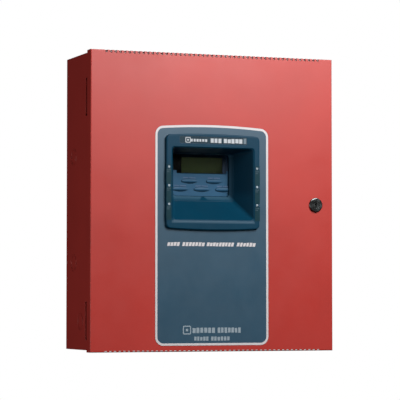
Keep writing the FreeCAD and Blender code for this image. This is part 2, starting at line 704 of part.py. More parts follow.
def board_standoffs():
    """Hexagonal spacers with a screw hole, between chassis and board."""
    solids = []
    for x, z in standoff_places():
        spacer = hex_y(x, z, board_rear(), CHASSIS_FRONT, 6.0)
        solids.append(spacer.cut(rod_y(x, z, board_rear() - 1, CHASSIS_FRONT + 1, 1.55)))
    return solids


def display_posts():
    """Longer spacers that hold the display board in front of the control board."""
    solids = []
    for x, z in display_post_places():
        spacer = hex_y(x, z, DISPLAY_BOARD_FRONT + BOARD_THICK, BOARD_FRONT, 5.5)
        solids.append(spacer.cut(rod_y(x, z, DISPLAY_BOARD_FRONT, BOARD_FRONT + 1, 1.3)))
    return solids


def pan_screw(x, z, seat, length, head_r):
    """Cross-recessed pan-head screw that points along +Y from its seat."""
    head = soften(rod_y(x, z, seat - 1.9, seat, head_r), 0.8, at_y(seat - 1.9))
    arm = head_r * 0.55
    recess = block(x - arm, x + arm, seat - 3, seat - 1.1, z - 0.35, z + 0.35)
    cross = block(x - 0.35, x + 0.35, seat - 3, seat - 1.1, z - arm, z + arm)
    shank = rod_y(x, z, seat, seat + length, head_r * 0.5)
    return head.cut([recess, cross]).fuse(shank)


def board_screws():
    """Screws through the control board and the display board."""
    screws = [pan_screw(x, z, BOARD_FRONT, 8.0, 3.0) for x, z in standoff_places()]
    screws += [pan_screw(x, z, DISPLAY_BOARD_FRONT, 6.0, 2.5) for x, z in display_post_places()]
    return screws


def main_board():
    """Control board."""
    body = block(-BOARD_HALF_WIDTH, BOARD_HALF_WIDTH, BOARD_FRONT, board_rear(), *BOARD_Z)
    body = soften(body, 3.0, runs_along(Y_AXIS))
    cutters = [rod_y(x, z, BOARD_FRONT - 1, board_rear() + 1, 1.7) for x, z in standoff_places()]
    return body.cut(cutters)


def display_board():
    """Smaller board that carries the display, key contacts and status lamps."""
    body = block(PANEL_X - DISPLAY_BOARD_HALF, PANEL_X + DISPLAY_BOARD_HALF,
                 DISPLAY_BOARD_FRONT, DISPLAY_BOARD_FRONT + BOARD_THICK, *DISPLAY_BOARD_Z)
    body = soften(body, 2.5, runs_along(Y_AXIS))
    cutters = [rod_y(x, z, DISPLAY_BOARD_FRONT - 1, DISPLAY_BOARD_FRONT + 3, DISPLAY_SCREW_HOLE_R)
               for x, z in display_post_places()]
    return body.cut(cutters)


# ---------------------------------------------------------------- display and keys
def lcd_frame():
    """Pressed metal frame round the display glass."""
    w, h = LCD_FRAME[0] / 2, LCD_FRAME[1] / 2
    vw, vh = LCD_VIEW[0] / 2, LCD_VIEW[1] / 2
    y0, y1 = DISPLAY_BOARD_FRONT - LCD_TALL, DISPLAY_BOARD_FRONT
    body = block(PANEL_X - w, PANEL_X + w, y0, y1, LCD_Z - h, LCD_Z + h)
    body = soften(body, 1.0, at_y(y0))
    inside = block(PANEL_X - w + 1, PANEL_X + w - 1, y0 + 1, y1 + 1, LCD_Z - h + 1, LCD_Z + h - 1)
    window = block(PANEL_X - vw, PANEL_X + vw, y0 - 1, y0 + 2, LCD_Z - vh, LCD_Z + vh)
    return body.cut([inside, window])


def lcd_layer(front, rear, margin):
    """Flat layer inside the display frame."""
    w, h = LCD_FRAME[0] / 2 - margin, LCD_FRAME[1] / 2 - margin
    return block(PANEL_X - w, PANEL_X + w, front, rear, LCD_Z - h, LCD_Z + h)


def lens(x, z, grow, y0, y1):
    """Prism of a key's outline: two arcs that meet in rounded tips."""
    w, h = KEY_SIZE[0] / 2 + grow, KEY_SIZE[1] / 2 + grow
    left, right = V(x - w, y0, z), V(x + w, y0, z)
    outline = Part.Wire([
        Part.Arc(left, V(x, y0, z + h), right).toShape(),
        Part.Arc(right, V(x, y0, z - h), left).toShape(),
    ])
    body = Part.Face(outline).extrude(V(0, y1 - y0, 0))
    return soften(body, 1.6, runs_along(Y_AXIS))


def display_fascia():
    """Moulded cover over the display board, with a window and five key openings."""
    z0, z1 = FASCIA_Z
    x0, x1 = PANEL_X - FASCIA_HALF, PANEL_X + FASCIA_HALF
    body = block(x0, x1, DISPLAY_Y, DISPLAY_BOARD_FRONT, z0, z1)
    body = soften(body, 3.0, runs_along(Y_AXIS))
    body = soften(body, 0.8, at_y(DISPLAY_Y))
    t = FASCIA_WALL
    inside = block(x0 + t, x1 - t, DISPLAY_Y + t, DISPLAY_BOARD_FRONT + 1, z0 + t, z1 - t)
    slope = 1.0
    bevel = Part.makeLoft([
        slot_face(WINDOW_HALF + slope, WINDOW_Z[0] - slope, WINDOW_Z[1] + slope, DISPLAY_Y - 0.01, 2.5),
        slot_face(WINDOW_HALF, WINDOW_Z[0], WINDOW_Z[1], DISPLAY_Y + slope, 1.5),
    ], True, True)
    through = Part.Face(slot_face(WINDOW_HALF, *WINDOW_Z, DISPLAY_Y, 1.5)).extrude(V(0, t + 1, 0))
    holes = [lens(x, z, 0.35, DISPLAY_Y - 1, DISPLAY_Y + t + 1) for x, z in KEYS.values()]
    return body.cut([inside, bevel, through] + holes)


def lcd_window():
    """Clear pane that rests on the display frame behind the fascia's window."""
    gap = 0.2
    outline = slot_face(WINDOW_HALF - gap, WINDOW_Z[0] + gap, WINDOW_Z[1] - gap, DISPLAY_Y + 1.4, 1.5)
    rear = DISPLAY_BOARD_FRONT - LCD_TALL
    return Part.Face(outline).extrude(V(0, rear - DISPLAY_Y - 1.4, 0))


def key(x, z):
    """Key cap with rounded edges, a retaining rim behind the fascia and a stem."""
    rim_front = DISPLAY_Y + FASCIA_WALL + 0.3
    face = DISPLAY_Y - KEY_PROUD
    crown = rod_x(face + KEY_CROWN_R, z, x - KEY_SIZE[0], x + KEY_SIZE[0], KEY_CROWN_R)
    cap = lens(x, z, 0, face, rim_front).common(crown)
    rim = lens(x, z, 1.1, rim_front, rim_front + 1.1)
    stem = rod_y(x, z, rim_front + 1.1, DISPLAY_BOARD_FRONT - 3.7, 2.4)
    return cap.fuse([rim, stem])


def keypad_mat():
    """Silicone mat with a dome under each key."""
    z0, z1 = KEY_ROWS["lower"] - 7, KEY_ROWS["upper"] + 5.5
    sheet = block(PANEL_X - 58, PANEL_X + 58, DISPLAY_BOARD_FRONT - 1.0, DISPLAY_BOARD_FRONT, z0, z1)
    domes = []
    for x, z in KEYS.values():
        domes.append(Part.makeCone(3.6, 2.4, 1.2, V(x, DISPLAY_BOARD_FRONT - 1.0, z), V(0, -1, 0)))
    return sheet.fuse(domes)


def status_led(x, z):
    """Five-millimetre lamp on the display board."""
    base = rod_y(x, z, DISPLAY_BOARD_FRONT - 1.0, DISPLAY_BOARD_FRONT, 2.9)
    body = rod_y(x, z, DISPLAY_BOARD_FRONT - 6.0, DISPLAY_BOARD_FRONT - 1.0, 2.5)
    dome = Part.makeSphere(2.5, V(x, DISPLAY_BOARD_FRONT - 6.0, z))
    return base.fuse([body, dome]).removeSplitter()


# ---------------------------------------------------------------- board components


def terminal_block(poles):
    """Screw terminal strip along X in its own frame: base on Y = 0, wires enter from +Z."""
    half = poles * TERMINAL_PITCH / 2
    body = block(-half, half, -TERMINAL_DEPTH, 0, -TERMINAL_TALL / 2, TERMINAL_TALL / 2)
    body = body.makeChamfer(2.5, [e for e in body.Edges if runs_along(X_AXIS)(e)
                                  and e.BoundBox.YMax < -TERMINAL_DEPTH + 1 and e.BoundBox.ZMin > 0])
    cutters = []
    for i in range(poles):
        x = -half + (i + 0.5) * TERMINAL_PITCH
        cutters.append(block(x - 2.3, x + 2.3, -7.5, -2.5, 0, TERMINAL_TALL))
        cutters.append(rod_y(x, -1.0, -TERMINAL_DEPTH - 1, -TERMINAL_DEPTH + 3, 2.6))
    return body.cut(cutters)


def terminal_screw(poles):
    """Slotted screws of one strip, in the strip's own frame."""
    half = poles * TERMINAL_PITCH / 2
    screws = []
    for i in range(poles):
        x = -half + (i + 0.5) * TERMINAL_PITCH
        head = rod_y(x, -1.0, -TERMINAL_DEPTH + 1.0, -TERMINAL_DEPTH + 3.0, 2.3)
        screws.append(head.cut(block(x - 3, x + 3, -TERMINAL_DEPTH, -TERMINAL_DEPTH + 1.8, -1.4, -0.6)))
    return screws


def placed(shape, x, z, turn, y=BOARD_FRONT):
    """Copy of a shape moved onto the board and turned about Y."""
    copy = shape.copy()
    copy.Placement = FreeCAD.Placement(V(x, y, z), FreeCAD.Rotation(Y_AXIS, turn))
    return copy


def terminal_blocks():
    return [placed(terminal_block(n), x, z, turn) for x, z, n, turn in TERMINAL_ROWS]


def terminal_screws():
    solids = []
    for x, z, n, turn in TERMINAL_ROWS:
        solids += [placed(s, x, z, turn) for s in terminal_screw(n)]
    return solids


def on_board(x, z, w, h, tall, radius=0.6):
    """Moulded rectangular component that stands on the control board."""
    return soft_block(x - w / 2, x + w / 2, BOARD_FRONT - tall, BOARD_FRONT, z - h / 2, z + h / 2, radius)


def relays():
    return [on_board(118.0, z, 13.0, 29.0, 16.0) for z in (172.0, 136.0, 92.0, 56.0)]


def capacitor(x, z, r, tall):
    """Upright electrolytic can with a crimp groove near its base."""
    can = soften(rod_y(x, z, BOARD_FRONT - tall, BOARD_FRONT, r), 0.8, at_y(BOARD_FRONT - tall))
    groove = Part.makeTorus(r + 0.5, 0.9, V(x, BOARD_FRONT - 3.5, z), Y_AXIS)
    return can.cut(groove)


def capacitors():
    large = [capacitor(x, -38.0, 11.0, 30.0) for x in (-78.0, -52.0)]
    small = [capacitor(x, z, *SMALL_CAPACITOR_SIZE) for x, z in SMALL_CAPACITORS]
    return large + small


def heat_sink():
    """Extruded aluminium block with upright fins."""
    x, z, w, h, d = HEAT_SINK
    front = BOARD_FRONT - d
    body = block(x - w / 2, x + w / 2, front, BOARD_FRONT, z - h / 2, z - h / 2 + 4)
    fins = 8
    step = (w - 2.0) / (fins - 1)
    plates = []
    for i in range(fins):
        x0 = x - w / 2 + i * step
        plates.append(block(x0, x0 + 2.0, front, BOARD_FRONT, z - h / 2 + 4, z + h / 2))
    return body.fuse(plates).removeSplitter()


def power_transistors():
    """Three tab-mounted transistors against the heat sink's flat side."""
    x, z, w, h, d = HEAT_SINK
    seat = z - h / 2
    solids = []
    for i in (-1, 0, 1):
        cx = x + i * 14
        tab = block(cx - 5, cx + 5, BOARD_FRONT - 19, BOARD_FRONT - 4, seat - 1.3, seat)
        case = block(cx - 5, cx + 5, BOARD_FRONT - 12.6, BOARD_FRONT - 4, seat - 4.4, seat - 1.3)
        legs = [block(cx + k * 2.54 - 0.4, cx + k * 2.54 + 0.4,
                      BOARD_FRONT - 4, BOARD_FRONT, seat - 3.0, seat - 2.4)
                for k in (-1, 0, 1)]
        solids.append(tab.fuse([case] + legs).removeSplitter())
    return solids


def chip(x, z, w, h, tall, pins, pitch):
    """Dual-row chip: a moulded body with bent legs along its two long sides."""
    body = soft_block(x - w / 2, x + w / 2, BOARD_FRONT - tall, BOARD_FRONT - 0.8, z - h / 2, z + h / 2, 0.3)
    notch = rod_y(x - w / 2, z, BOARD_FRONT - tall - 1, BOARD_FRONT - tall + 0.7, 1.0)
    legs = []
    for i in range(pins):
        px = x + (i - (pins - 1) / 2) * pitch
        for side in (-1, 1):
            z0, z1 = sorted((z + side * (h / 2 - 0.2), z + side * (h / 2 + 0.9)))
            legs.append(block(px - 0.35, px + 0.35, BOARD_FRONT - tall / 2 - 0.4, BOARD_FRONT, z0, z1))
    return body.cut(notch).fuse(legs)


def logic_chips():
    """Processor, memory and interface chips."""
    chips = [chip(-20.0, 150.0, 36.0, 14.0, 4.4, 14, 2.54)]
    chips += [chip(x, 172.0, 20.0, 7.0, 4.0, 8, 2.54) for x in (-100.0, -70.0, -40.0, 20.0, 50.0)]
    chips += [chip(x, 128.0, 20.0, 7.0, 4.0, 8, 2.54) for x in (-100.0, -70.0, 30.0, 62.0)]
    return chips


def piezo_sounder():
    """Round buzzer with a central sound hole."""
    body = soften(rod_y(118.0, 16.0, BOARD_FRONT - 9.5, BOARD_FRONT, 12.0), 0.8, at_y(BOARD_FRONT - 9.5))
    return body.cut(rod_y(118.0, 16.0, BOARD_FRONT - 11, BOARD_FRONT - 6, 1.6))


def pin_header(x, z, columns):
    """Two-row pin header with a moulded base."""
    w = columns * 2.54
    body = block(x - w / 2, x + w / 2, BOARD_FRONT - 2.5, BOARD_FRONT, z - 2.54, z + 2.54)
    pins = []
    for i in range(columns):
        px = x - w / 2 + (i + 0.5) * 2.54
        for row in (-1, 1):
            pins.append(block(px - 0.32, px + 0.32, BOARD_FRONT - 8.5, BOARD_FRONT - 2.5,
                              z + row * 1.27 - 0.32, z + row * 1.27 + 0.32))
    return body.fuse(pins)


def expansion_headers():
    return [pin_header(-118.0, 148.0, 10), pin_header(-118.0, 100.0, 13)]


def power_connectors():
    """Plug-in connectors at the board's lower edge."""
    w, h, tall = CONNECTOR_SIZE
    return [on_board(x, z, w, h, tall, 0.5) for x, z in CONNECTORS.values()]


def battery_fuse():
    """Glass fuse in two spring clips."""
    x, z = -8.0, -28.0
    glass = rod_x(BOARD_FRONT - 5.0, z, x - 10, x + 10, 2.4)
    caps = [rod_x(BOARD_FRONT - 5.0, z, x0, x0 + 5.5, 2.6) for x0 in (x - 10.5, x + 5.0)]
    clips = [block(cx - 2.2, cx + 2.2, BOARD_FRONT - 5.2, BOARD_FRONT, z - 3.4, z + 3.4)
             for cx in (x - 7.7, x + 7.7)]
    fuse = glass.fuse(caps).removeSplitter()
    return [fuse] + [c.cut(fuse) for c in clips]


# ---------------------------------------------------------------- power


def transformer_core():
    """Laminated iron core with two windows for the winding."""
    x, z = TRANSFORMER
    w, d, h = CORE_SIZE
    body = block(x - w / 2, x + w / 2, CORE_REAR - d, CORE_REAR, z - h / 2, z + h / 2)
    cutters = []
    for side in (-1, 1):
        x0, x1 = sorted((x + side * 11, x + side * 22))
        cutters.append(block(x0, x1, CORE_REAR - d - 1, CORE_REAR + 1, z - h / 2 + 11, z + h / 2 - 11))
    return body.cut(cutters)


def transformer_coil():
    """Winding on the core's middle leg."""
    x, z = TRANSFORMER
    w, d, h = CORE_SIZE
    tall = h / 2 - 11.2
    outer = soft_block(x - 21.5, x + 21.5, CORE_REAR - d - 9, CORE_REAR + 6, z - tall, z + tall, 3.0)
    leg = block(x - 11.2, x + 11.2, CORE_REAR - d - 0.2, CORE_REAR + 0.2, z - h, z + h)
    return outer.cut(leg)


def transformer_bracket():
    """Sheet strap over the core, with two feet on the cabinet's back."""
    x, z = TRANSFORMER
    w, d, h = CORE_SIZE
    top = CORE_REAR - d - 0.2
    t = 1.5
    solids = []
    for side in (-1, 1):
        z0, z1 = sorted((z + side * (h / 2 + 0.2), z + side * (h / 2 + 0.2 + t)))
        solids.append(block(x - 26, x + 26, top - t, -SHEET, z0, z1))
        z0, z1 = sorted((z + side * (h / 2 + 0.2), z + side * (h / 2 + 14)))
        solids.append(block(x - 26, x + 26, -SHEET - t, -SHEET, z0, z1))
    front = block(x - 26, x + 26, top - t, top, z - h / 2 - 0.2, z + h / 2 + 0.2)
    body = front.fuse(solids).removeSplitter()
    return body.cut(block(x - 22, x + 22, top - t - 1, top + 1, z - h / 2 + 10.5, z + h / 2 - 10.5))


def mains_terminal_block():
    """Three-way barrier strip on the cabinet's back for the mains supply."""
    x, z = MAINS_BLOCK
    base = block(x - 17, x + 17, -10, -SHEET, z - 11, z + 11)
    walls = [block(x + i * MAINS_PITCH - 0.8, x + i * MAINS_PITCH + 0.8, -18, -10, z - 11, z + 11)
             for i in (-1.5, -0.5, 0.5, 1.5)]
    return base.fuse(walls).removeSplitter()


def mains_screws():
    """Binding screws of the barrier strip."""
    x, z = MAINS_BLOCK
    return [pan_screw_on(x + i * MAINS_PITCH, z + row * 6) for i in (-1, 0, 1) for row in (-1, 1)]


def pan_screw_on(x, z):
    """Slotted binding screw seated on the barrier strip's base."""
    head = soften(rod_y(x, z, -13.0, -10.0, 3.2), 0.7, at_y(-13.0))
    return head.cut(block(x - 4, x + 4, -14, -12.0, z - 0.4, z + 0.4))


def ground_stud():
    """Earth stud with a washer and a nut."""
    x, z = GROUND_STUD
    stud = rod_y(x, z, -16.0, -SHEET, 2.4)
    washer = rod_y(x, z, -3.0, -SHEET, 5.5).cut(rod_y(x, z, -5, 0, 2.4))
    nut = hex_y(x, z, -7.0, -3.0, 8.0).cut(rod_y(x, z, -8, 0, 2.4))
    return [stud, washer, nut]


def battery_left_edge(side):
    """Smaller X of the battery on one side of the middle."""
    return BATTERY_GAP / 2 if side > 0 else -BATTERY_GAP / 2 - BATTERY[0]


def battery_case(side):
    """Sealed battery block with a stepped lid and recesses round its tabs."""
    w, d, h = BATTERY
    x0 = battery_left_edge(side)
    y0 = BATTERY_REAR - d
    body = soft_block(x0, x0 + w, y0, BATTERY_REAR, BOX_FLOOR, BATTERY_TOP, 2.0)
    seam_z = BATTERY_TOP - 16
    seam_outer = block(x0 - 1, x0 + w + 1, y0 - 1, BATTERY_REAR + 1, seam_z, seam_z + 0.8)
    seam_inner = block(x0 + 0.6, x0 + w - 0.6, y0 + 0.6, BATTERY_REAR - 0.6, seam_z, seam_z + 0.8)
    vent = block(x0 + 32, x0 + w - 32, y0 + 22, BATTERY_REAR - 18, BATTERY_TOP - 0.8, BATTERY_TOP + 1)
    pockets = []
    for x in battery_tab_x(side):
        pockets.append(block(x - 9, x + 9, TAB_Y - 7, TAB_Y + 7, BATTERY_TOP - 1.5, BATTERY_TOP + 1))
    return body.cut([seam_outer.cut(seam_inner), vent] + pockets)


def battery_tab_x(side):
    """X of a battery's positive and negative tabs."""
    x0 = battery_left_edge(side)
    return (x0 + TAB_INSET, x0 + BATTERY[0] - TAB_INSET)


def battery_tabs():
    """Four push-on tabs that stand on the batteries."""
    tabs = []
    for side in (-1, 1):
        for x in battery_tab_x(side):
            tabs.append(block(x - TAB_WIDTH / 2, x + TAB_WIDTH / 2,
                              TAB_Y - TAB_THICK / 2, TAB_Y + TAB_THICK / 2,
                              BATTERY_TOP - 1.5, BATTERY_TOP + TAB_TALL))
    return tabs


def sleeve(x):
    """Insulated push-on receptacle over a battery tab."""
    z0 = BATTERY_TOP + 0.2
    body = soft_block(x - 4.2, x + 4.2, TAB_Y - 2.0, TAB_Y + 2.0, z0, z0 + 16, 0.9)
    return body.cut(block(x - 2.5, x + 2.5, TAB_Y - 0.5, TAB_Y + 0.5, z0 - 1, z0 + 6.4))


def plug_exit(name, offset):
    """Where a lead leaves the lower side of a connector."""
    x, z = CONNECTORS[name]
    return (x + offset, PLUG_WIRE_Y, z - CONNECTOR_SIZE[1] / 2)


def battery_lead_red():
    x = battery_tab_x(-1)[0]
    sx, sy, sz = plug_exit("battery", -4.0)
    route = [(sx, sy, sz), (sx, sy, sz - 14), (sx - 14, sy - 6, sz - 30), (-40, -74, -97), (-86, -76, -94),
             (-120, -72, -98), (x, -64, -108), (x, TAB_Y, SLEEVE_TOP + 9), (x, TAB_Y, SLEEVE_TOP)]
    return [tube(route, WIRE_R), sleeve(x)]


def battery_lead_black():
    x = battery_tab_x(1)[1]
    sx, sy, sz = plug_exit("battery", 4.0)
    route = [(sx, sy, sz), (sx, sy, sz - 14), (sx + 12, sy - 5, sz - 28), (66, -72, -92), (104, -72, -98),
             (x, -64, -110), (x, TAB_Y, SLEEVE_TOP + 9), (x, TAB_Y, SLEEVE_TOP)]
    return [tube(route, WIRE_R), sleeve(x)]


def battery_jumper():
    """Short lead that puts the two batteries in series."""
    x0, x1 = battery_tab_x(-1)[1], battery_tab_x(1)[0]
    z = SLEEVE_TOP
    route = [(x0, TAB_Y, z), (x0, TAB_Y, z + 9), (x0 + 7, TAB_Y, z + 17), (x1 - 7, TAB_Y, z + 17),
             (x1, TAB_Y, z + 9), (x1, TAB_Y, z)]
    return [tube(route, WIRE_R), sleeve(x0), sleeve(x1)]


def transformer_secondary_leads():
    """Two leads from the winding up to the board's connector."""
    x, z = TRANSFORMER
    coil_front = CORE_REAR - CORE_SIZE[1] - 9
    leads = []
    for i, offset in enumerate((-4.0, 4.0)):
        ex, ey, ez = plug_exit("secondary", offset)
        sx = x + 6 + 5 * i
        route = [(sx, coil_front, z + 8), (sx, coil_front - 8, z + 8), (sx + 12, coil_front - 14, z + 16),
                 (ex - 8, ey - 6, ez - 24), (ex, ey, ez - 12), (ex, ey, ez)]
        leads.append(tube(route, WIRE_R))
    return leads


def transformer_primary_leads():
    """Two leads from the winding across to the mains strip."""
    x, z = TRANSFORMER
    coil_front = CORE_REAR - CORE_SIZE[1] - 9
    mx, mz = MAINS_BLOCK
    leads = []
    for i, dz in enumerate((0.0, -7.0)):
        end_x = mx - 11 + 11 * i
        route = [(x + 10, coil_front, z + dz), (x + 10, coil_front - 7, z + dz),
                 (x + 22, coil_front - 12, z + dz - 2), (x + 42, -46, z + dz - 6),
                 (end_x - 6, -24, mz - 16), (end_x, -14.2, mz - 12), (end_x, -14.2, mz - 4)]
        leads.append(tube(route, 1.0))
    return leads


def display_ribbon():
    """Flat ribbon cable from the display board's lower edge down to a socket on the control board."""
    x0, x1 = RIBBON_X - RIBBON_WIDTH / 2, RIBBON_X + RIBBON_WIDTH / 2
    top_rear = DISPLAY_BOARD_FRONT + BOARD_THICK
    upper = block(x0 - 2, x1 + 2, top_rear, top_rear + 6, 3, 9)
    lower = block(x0 - 2, x1 + 2, BOARD_FRONT - 9, BOARD_FRONT, RIBBON_BOARD_Z - 3, RIBBON_BOARD_Z + 3)
    bend = 4.0
    y = top_rear + 3
    fall = block(x0, x1, y - RIBBON_THICK / 2, y + RIBBON_THICK / 2, RIBBON_BOARD_Z + bend, 3)
    reach = block(x0, x1, y + bend, BOARD_FRONT - 9,
                  RIBBON_BOARD_Z - RIBBON_THICK / 2, RIBBON_BOARD_Z + RIBBON_THICK / 2)
    ring = rod_x(y + bend, RIBBON_BOARD_Z + bend, x0, x1, bend + RIBBON_THICK / 2)
    ring = ring.cut(rod_x(y + bend, RIBBON_BOARD_Z + bend, x0 - 1, x1 + 1, bend - RIBBON_THICK / 2))
    quarter = block(x0, x1, y - 1, y + bend, RIBBON_BOARD_Z - 1, RIBBON_BOARD_Z + bend)
    return upper.fuse([lower, fall, reach, ring.common(quarter)]).removeSplitter()


# ---------------------------------------------------------------- build
def main():
    os.makedirs("parts", exist_ok=True)

    save("backbox", backbox())
    save("box_end_plates", *box_end_plates())
    save("lock_strike", lock_strike())
    save("box_hinge_leaves", *[box_hinge_leaf(z) for z in HINGE_CENTRES_Z])
    save("hinge_pins", *[hinge_pin(z) for z in HINGE_CENTRES_Z])

    save("door_panel", door_panel())
    save("door_hinge_leaves", *[door_hinge_leaf(z) for z in HINGE_CENTRES_Z])
    save("front_overlay", front_overlay())
    save("display_bezel", display_bezel())
    save("nameplate", nameplate())
    save("light_pipes", *[light_pipe(x, z) for x, z in indicator_places()])
    save("bezel_push_nuts", *[push_nut(x, z) for x, z in bezel_post_places()])

    save("lock_housing", lock_housing())
    save("lock_nut", lock_nut())
    save("lock_plug", lock_plug())
    save("lock_cam", lock_cam())
    save("lock_cam_screw", lock_cam_screw())

    save("chassis_plate", chassis_plate())
    save("chassis_studs_and_nuts", *chassis_studs_and_nuts())
    save("board_spacers", *board_standoffs(), *display_posts())
    save("board_screws", *board_screws())
    save("main_board", main_board())
    save("display_board", display_board())

    glass_front = DISPLAY_BOARD_FRONT - LCD_TALL + 1.1
    save("lcd_frame", lcd_frame())
    save("lcd_glass", lcd_layer(glass_front, glass_front + 2.2, 1.2))
    save("lcd_backlight", lcd_layer(glass_front + 2.3, DISPLAY_BOARD_FRONT, 1.6))
    save("lcd_window", lcd_window())
    save("display_fascia", display_fascia())
    save("keypad_mat", keypad_mat())
    save("status_lamps", *[status_led(x, z) for x, z in indicator_places()])
    for name, (x, z) in KEYS.items():
        save(name, key(x, z))

    save("terminal_blocks", *terminal_blocks())
    save("terminal_screws", *terminal_screws(), *mains_screws())
    save("relays", *relays())
    save("capacitors", *capacitors())
    save("heat_sink", heat_sink())
    save("power_transistors", *power_transistors())
    save("logic_chips", *logic_chips())
    save("piezo_sounder", piezo_sounder())
    save("expansion_headers", *expansion_headers())
    save("power_connectors", *power_connectors())
    save("battery_fuse", *battery_fuse())

    save("transformer_core", transformer_core())
    save("transformer_coil", transformer_coil())
    save("transformer_bracket", transformer_bracket())
    save("mains_terminal_block", mains_terminal_block())
    save("ground_stud", *ground_stud())
    save("battery_left", battery_case(-1))
    save("battery_right", battery_case(1))
    save("battery_tabs", *battery_tabs())
    save("battery_lead_red", *battery_lead_red())
    save("battery_lead_black", *battery_lead_black())
    save("battery_jumper", *battery_jumper())
    save("transformer_secondary_leads", *transformer_secondary_leads())
    save("transformer_primary_leads", *transformer_primary_leads())
    save("display_ribbon", display_ribbon())


main()
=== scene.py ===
# The looks of the fire alarm control panel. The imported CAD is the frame: every node gets a finish,
# the printed marks are thin pieces that ride on the cabinet or the door, and then come the camera,
# the lights and the floor. Lengths are in metres, the wall is Y = 0, and the front looks along -Y.
import json
import math
import random

import bmesh
import bpy
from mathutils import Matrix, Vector

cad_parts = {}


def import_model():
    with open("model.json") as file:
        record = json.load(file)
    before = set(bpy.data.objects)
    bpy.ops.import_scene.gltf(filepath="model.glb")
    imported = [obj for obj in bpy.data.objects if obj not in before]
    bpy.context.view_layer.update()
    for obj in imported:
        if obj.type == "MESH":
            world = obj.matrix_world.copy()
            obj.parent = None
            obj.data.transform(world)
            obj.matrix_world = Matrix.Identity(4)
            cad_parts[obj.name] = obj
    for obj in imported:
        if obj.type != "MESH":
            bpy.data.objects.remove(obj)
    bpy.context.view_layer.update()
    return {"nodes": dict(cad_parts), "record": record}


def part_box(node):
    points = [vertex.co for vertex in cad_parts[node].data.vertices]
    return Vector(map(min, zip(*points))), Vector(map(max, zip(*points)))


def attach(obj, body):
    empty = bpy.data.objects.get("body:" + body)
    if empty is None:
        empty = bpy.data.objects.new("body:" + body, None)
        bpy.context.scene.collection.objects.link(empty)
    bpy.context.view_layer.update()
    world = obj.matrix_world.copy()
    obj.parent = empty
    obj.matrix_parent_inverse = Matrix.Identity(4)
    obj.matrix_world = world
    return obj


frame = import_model()

MM = 0.001
nodes = frame["nodes"]

# ---------------------------------------------------------------- node trees
MIX_FACTOR, MIX_A, MIX_B, MIX_RESULT = 0, 6, 7, 2  # the sockets of a Mix node that blends colours
BEVEL_SAMPLES = 4


def add(tree, kind, settings=None, inputs=None):
    """A new shader node. Inputs are values, or output sockets to join."""
    node = tree.nodes.new("ShaderNode" + kind)
    for name, value in (settings or {}).items():
        setattr(node, name, value)
    for name, value in (inputs or {}).items():
        put(tree, node.inputs[name], value)
    return node


def put(tree, socket, value):
    """Sets an input to a value, or joins an output socket to it."""
    if isinstance(value, bpy.types.NodeSocket):
        tree.links.new(value, socket)
    else:
        socket.default_value = value


def rgba(colour, scale=1.0):
    """A colour with full alpha, made lighter or darker."""
    return tuple(min(c * scale, 1.0) for c in colour[:3]) + (1.0,)


def blend_colours(tree, factor, a, b):
    """Colour a where the factor is 0, and b where it is 1."""
    node = add(tree, "Mix", {"data_type": "RGBA"})
    put(tree, node.inputs[MIX_FACTOR], factor)
    put(tree, node.inputs[MIX_A], a)
    put(tree, node.inputs[MIX_B], b)
    return node.outputs[MIX_RESULT]


def calc(tree, operation, a, b=0.0):
    """A Math node; b is ignored where the operation takes one number."""
    node = add(tree, "Math", {"operation": operation})
    put(tree, node.inputs[0], a)
    put(tree, node.inputs[1], b)
    return node.outputs[0]


def times(tree, a, b):
    """The product of two values or sockets."""
    return calc(tree, "MULTIPLY", a, b)


def wash(tree, shade, mask, strength, colour, scale=1.0):
    """Lays a colour over a shade where a mask is 1, as strongly as strength says."""
    return blend_colours(tree, times(tree, mask, strength), shade, rgba(colour, scale))


def spread(tree, value, low, high, to_low=0.0, to_high=1.0):
    """Maps a value's range low..high onto to_low..to_high, clamped."""
    inputs = {"Value": value, "From Min": low, "From Max": high,
              "To Min": to_low, "To Max": to_high}
    return add(tree, "MapRange", {}, inputs).outputs["Result"]


def within(tree, value, low, high, soft):
    """1 where a value lies between two limits, with soft ends."""
    rise = spread(tree, value, low - soft, low + soft)
    fall = spread(tree, value, high + soft, high - soft)
    return times(tree, rise, fall)


def place(tree):
    """Coordinates in metres in the object's own frame."""
    return add(tree, "TexCoord").outputs["Object"]


def noise(tree, scale, detail=2.0, roughness=0.5, vector=None):
    """A noise value at each place."""
    inputs = {"Vector": vector or place(tree), "Scale": scale, "Detail": detail,
              "Roughness": roughness}
    return add(tree, "TexNoise", {}, inputs).outputs["Fac"]


def stretched(tree, factors):
    """The object's coordinates, multiplied on each axis, for a pattern that runs one way."""
    node = add(tree, "VectorMath", {"operation": "MULTIPLY"})
    put(tree, node.inputs[0], place(tree))
    put(tree, node.inputs[1], factors)
    return node.outputs[0]


def edge_mask(tree, radius, sharp=0.5):
    """1 along the surface's edges and 0 elsewhere, from how far a bevelled normal leans."""
    bevel = add(tree, "Bevel", {"samples": BEVEL_SAMPLES}, {"Radius": radius})
    normal = add(tree, "NewGeometry").outputs["Normal"]
    dot = add(tree, "VectorMath", {"operation": "DOT_PRODUCT"})
    put(tree, dot.inputs[0], bevel.outputs[0])
    put(tree, dot.inputs[1], normal)
    return spread(tree, dot.outputs["Value"], 0.999, sharp)


NOISE_RANGE = (0.3, 0.7)  # most of a noise's values lie between these
SMUDGE_SCALE = 2.3  # smudges in the gloss, beside the mottle in the tone
WEAR_SCALE = 260.0
WEAR_RANGE = (0.45, 0.62)  # wear comes in patches along an edge
WEAR_STRENGTH = 0.6


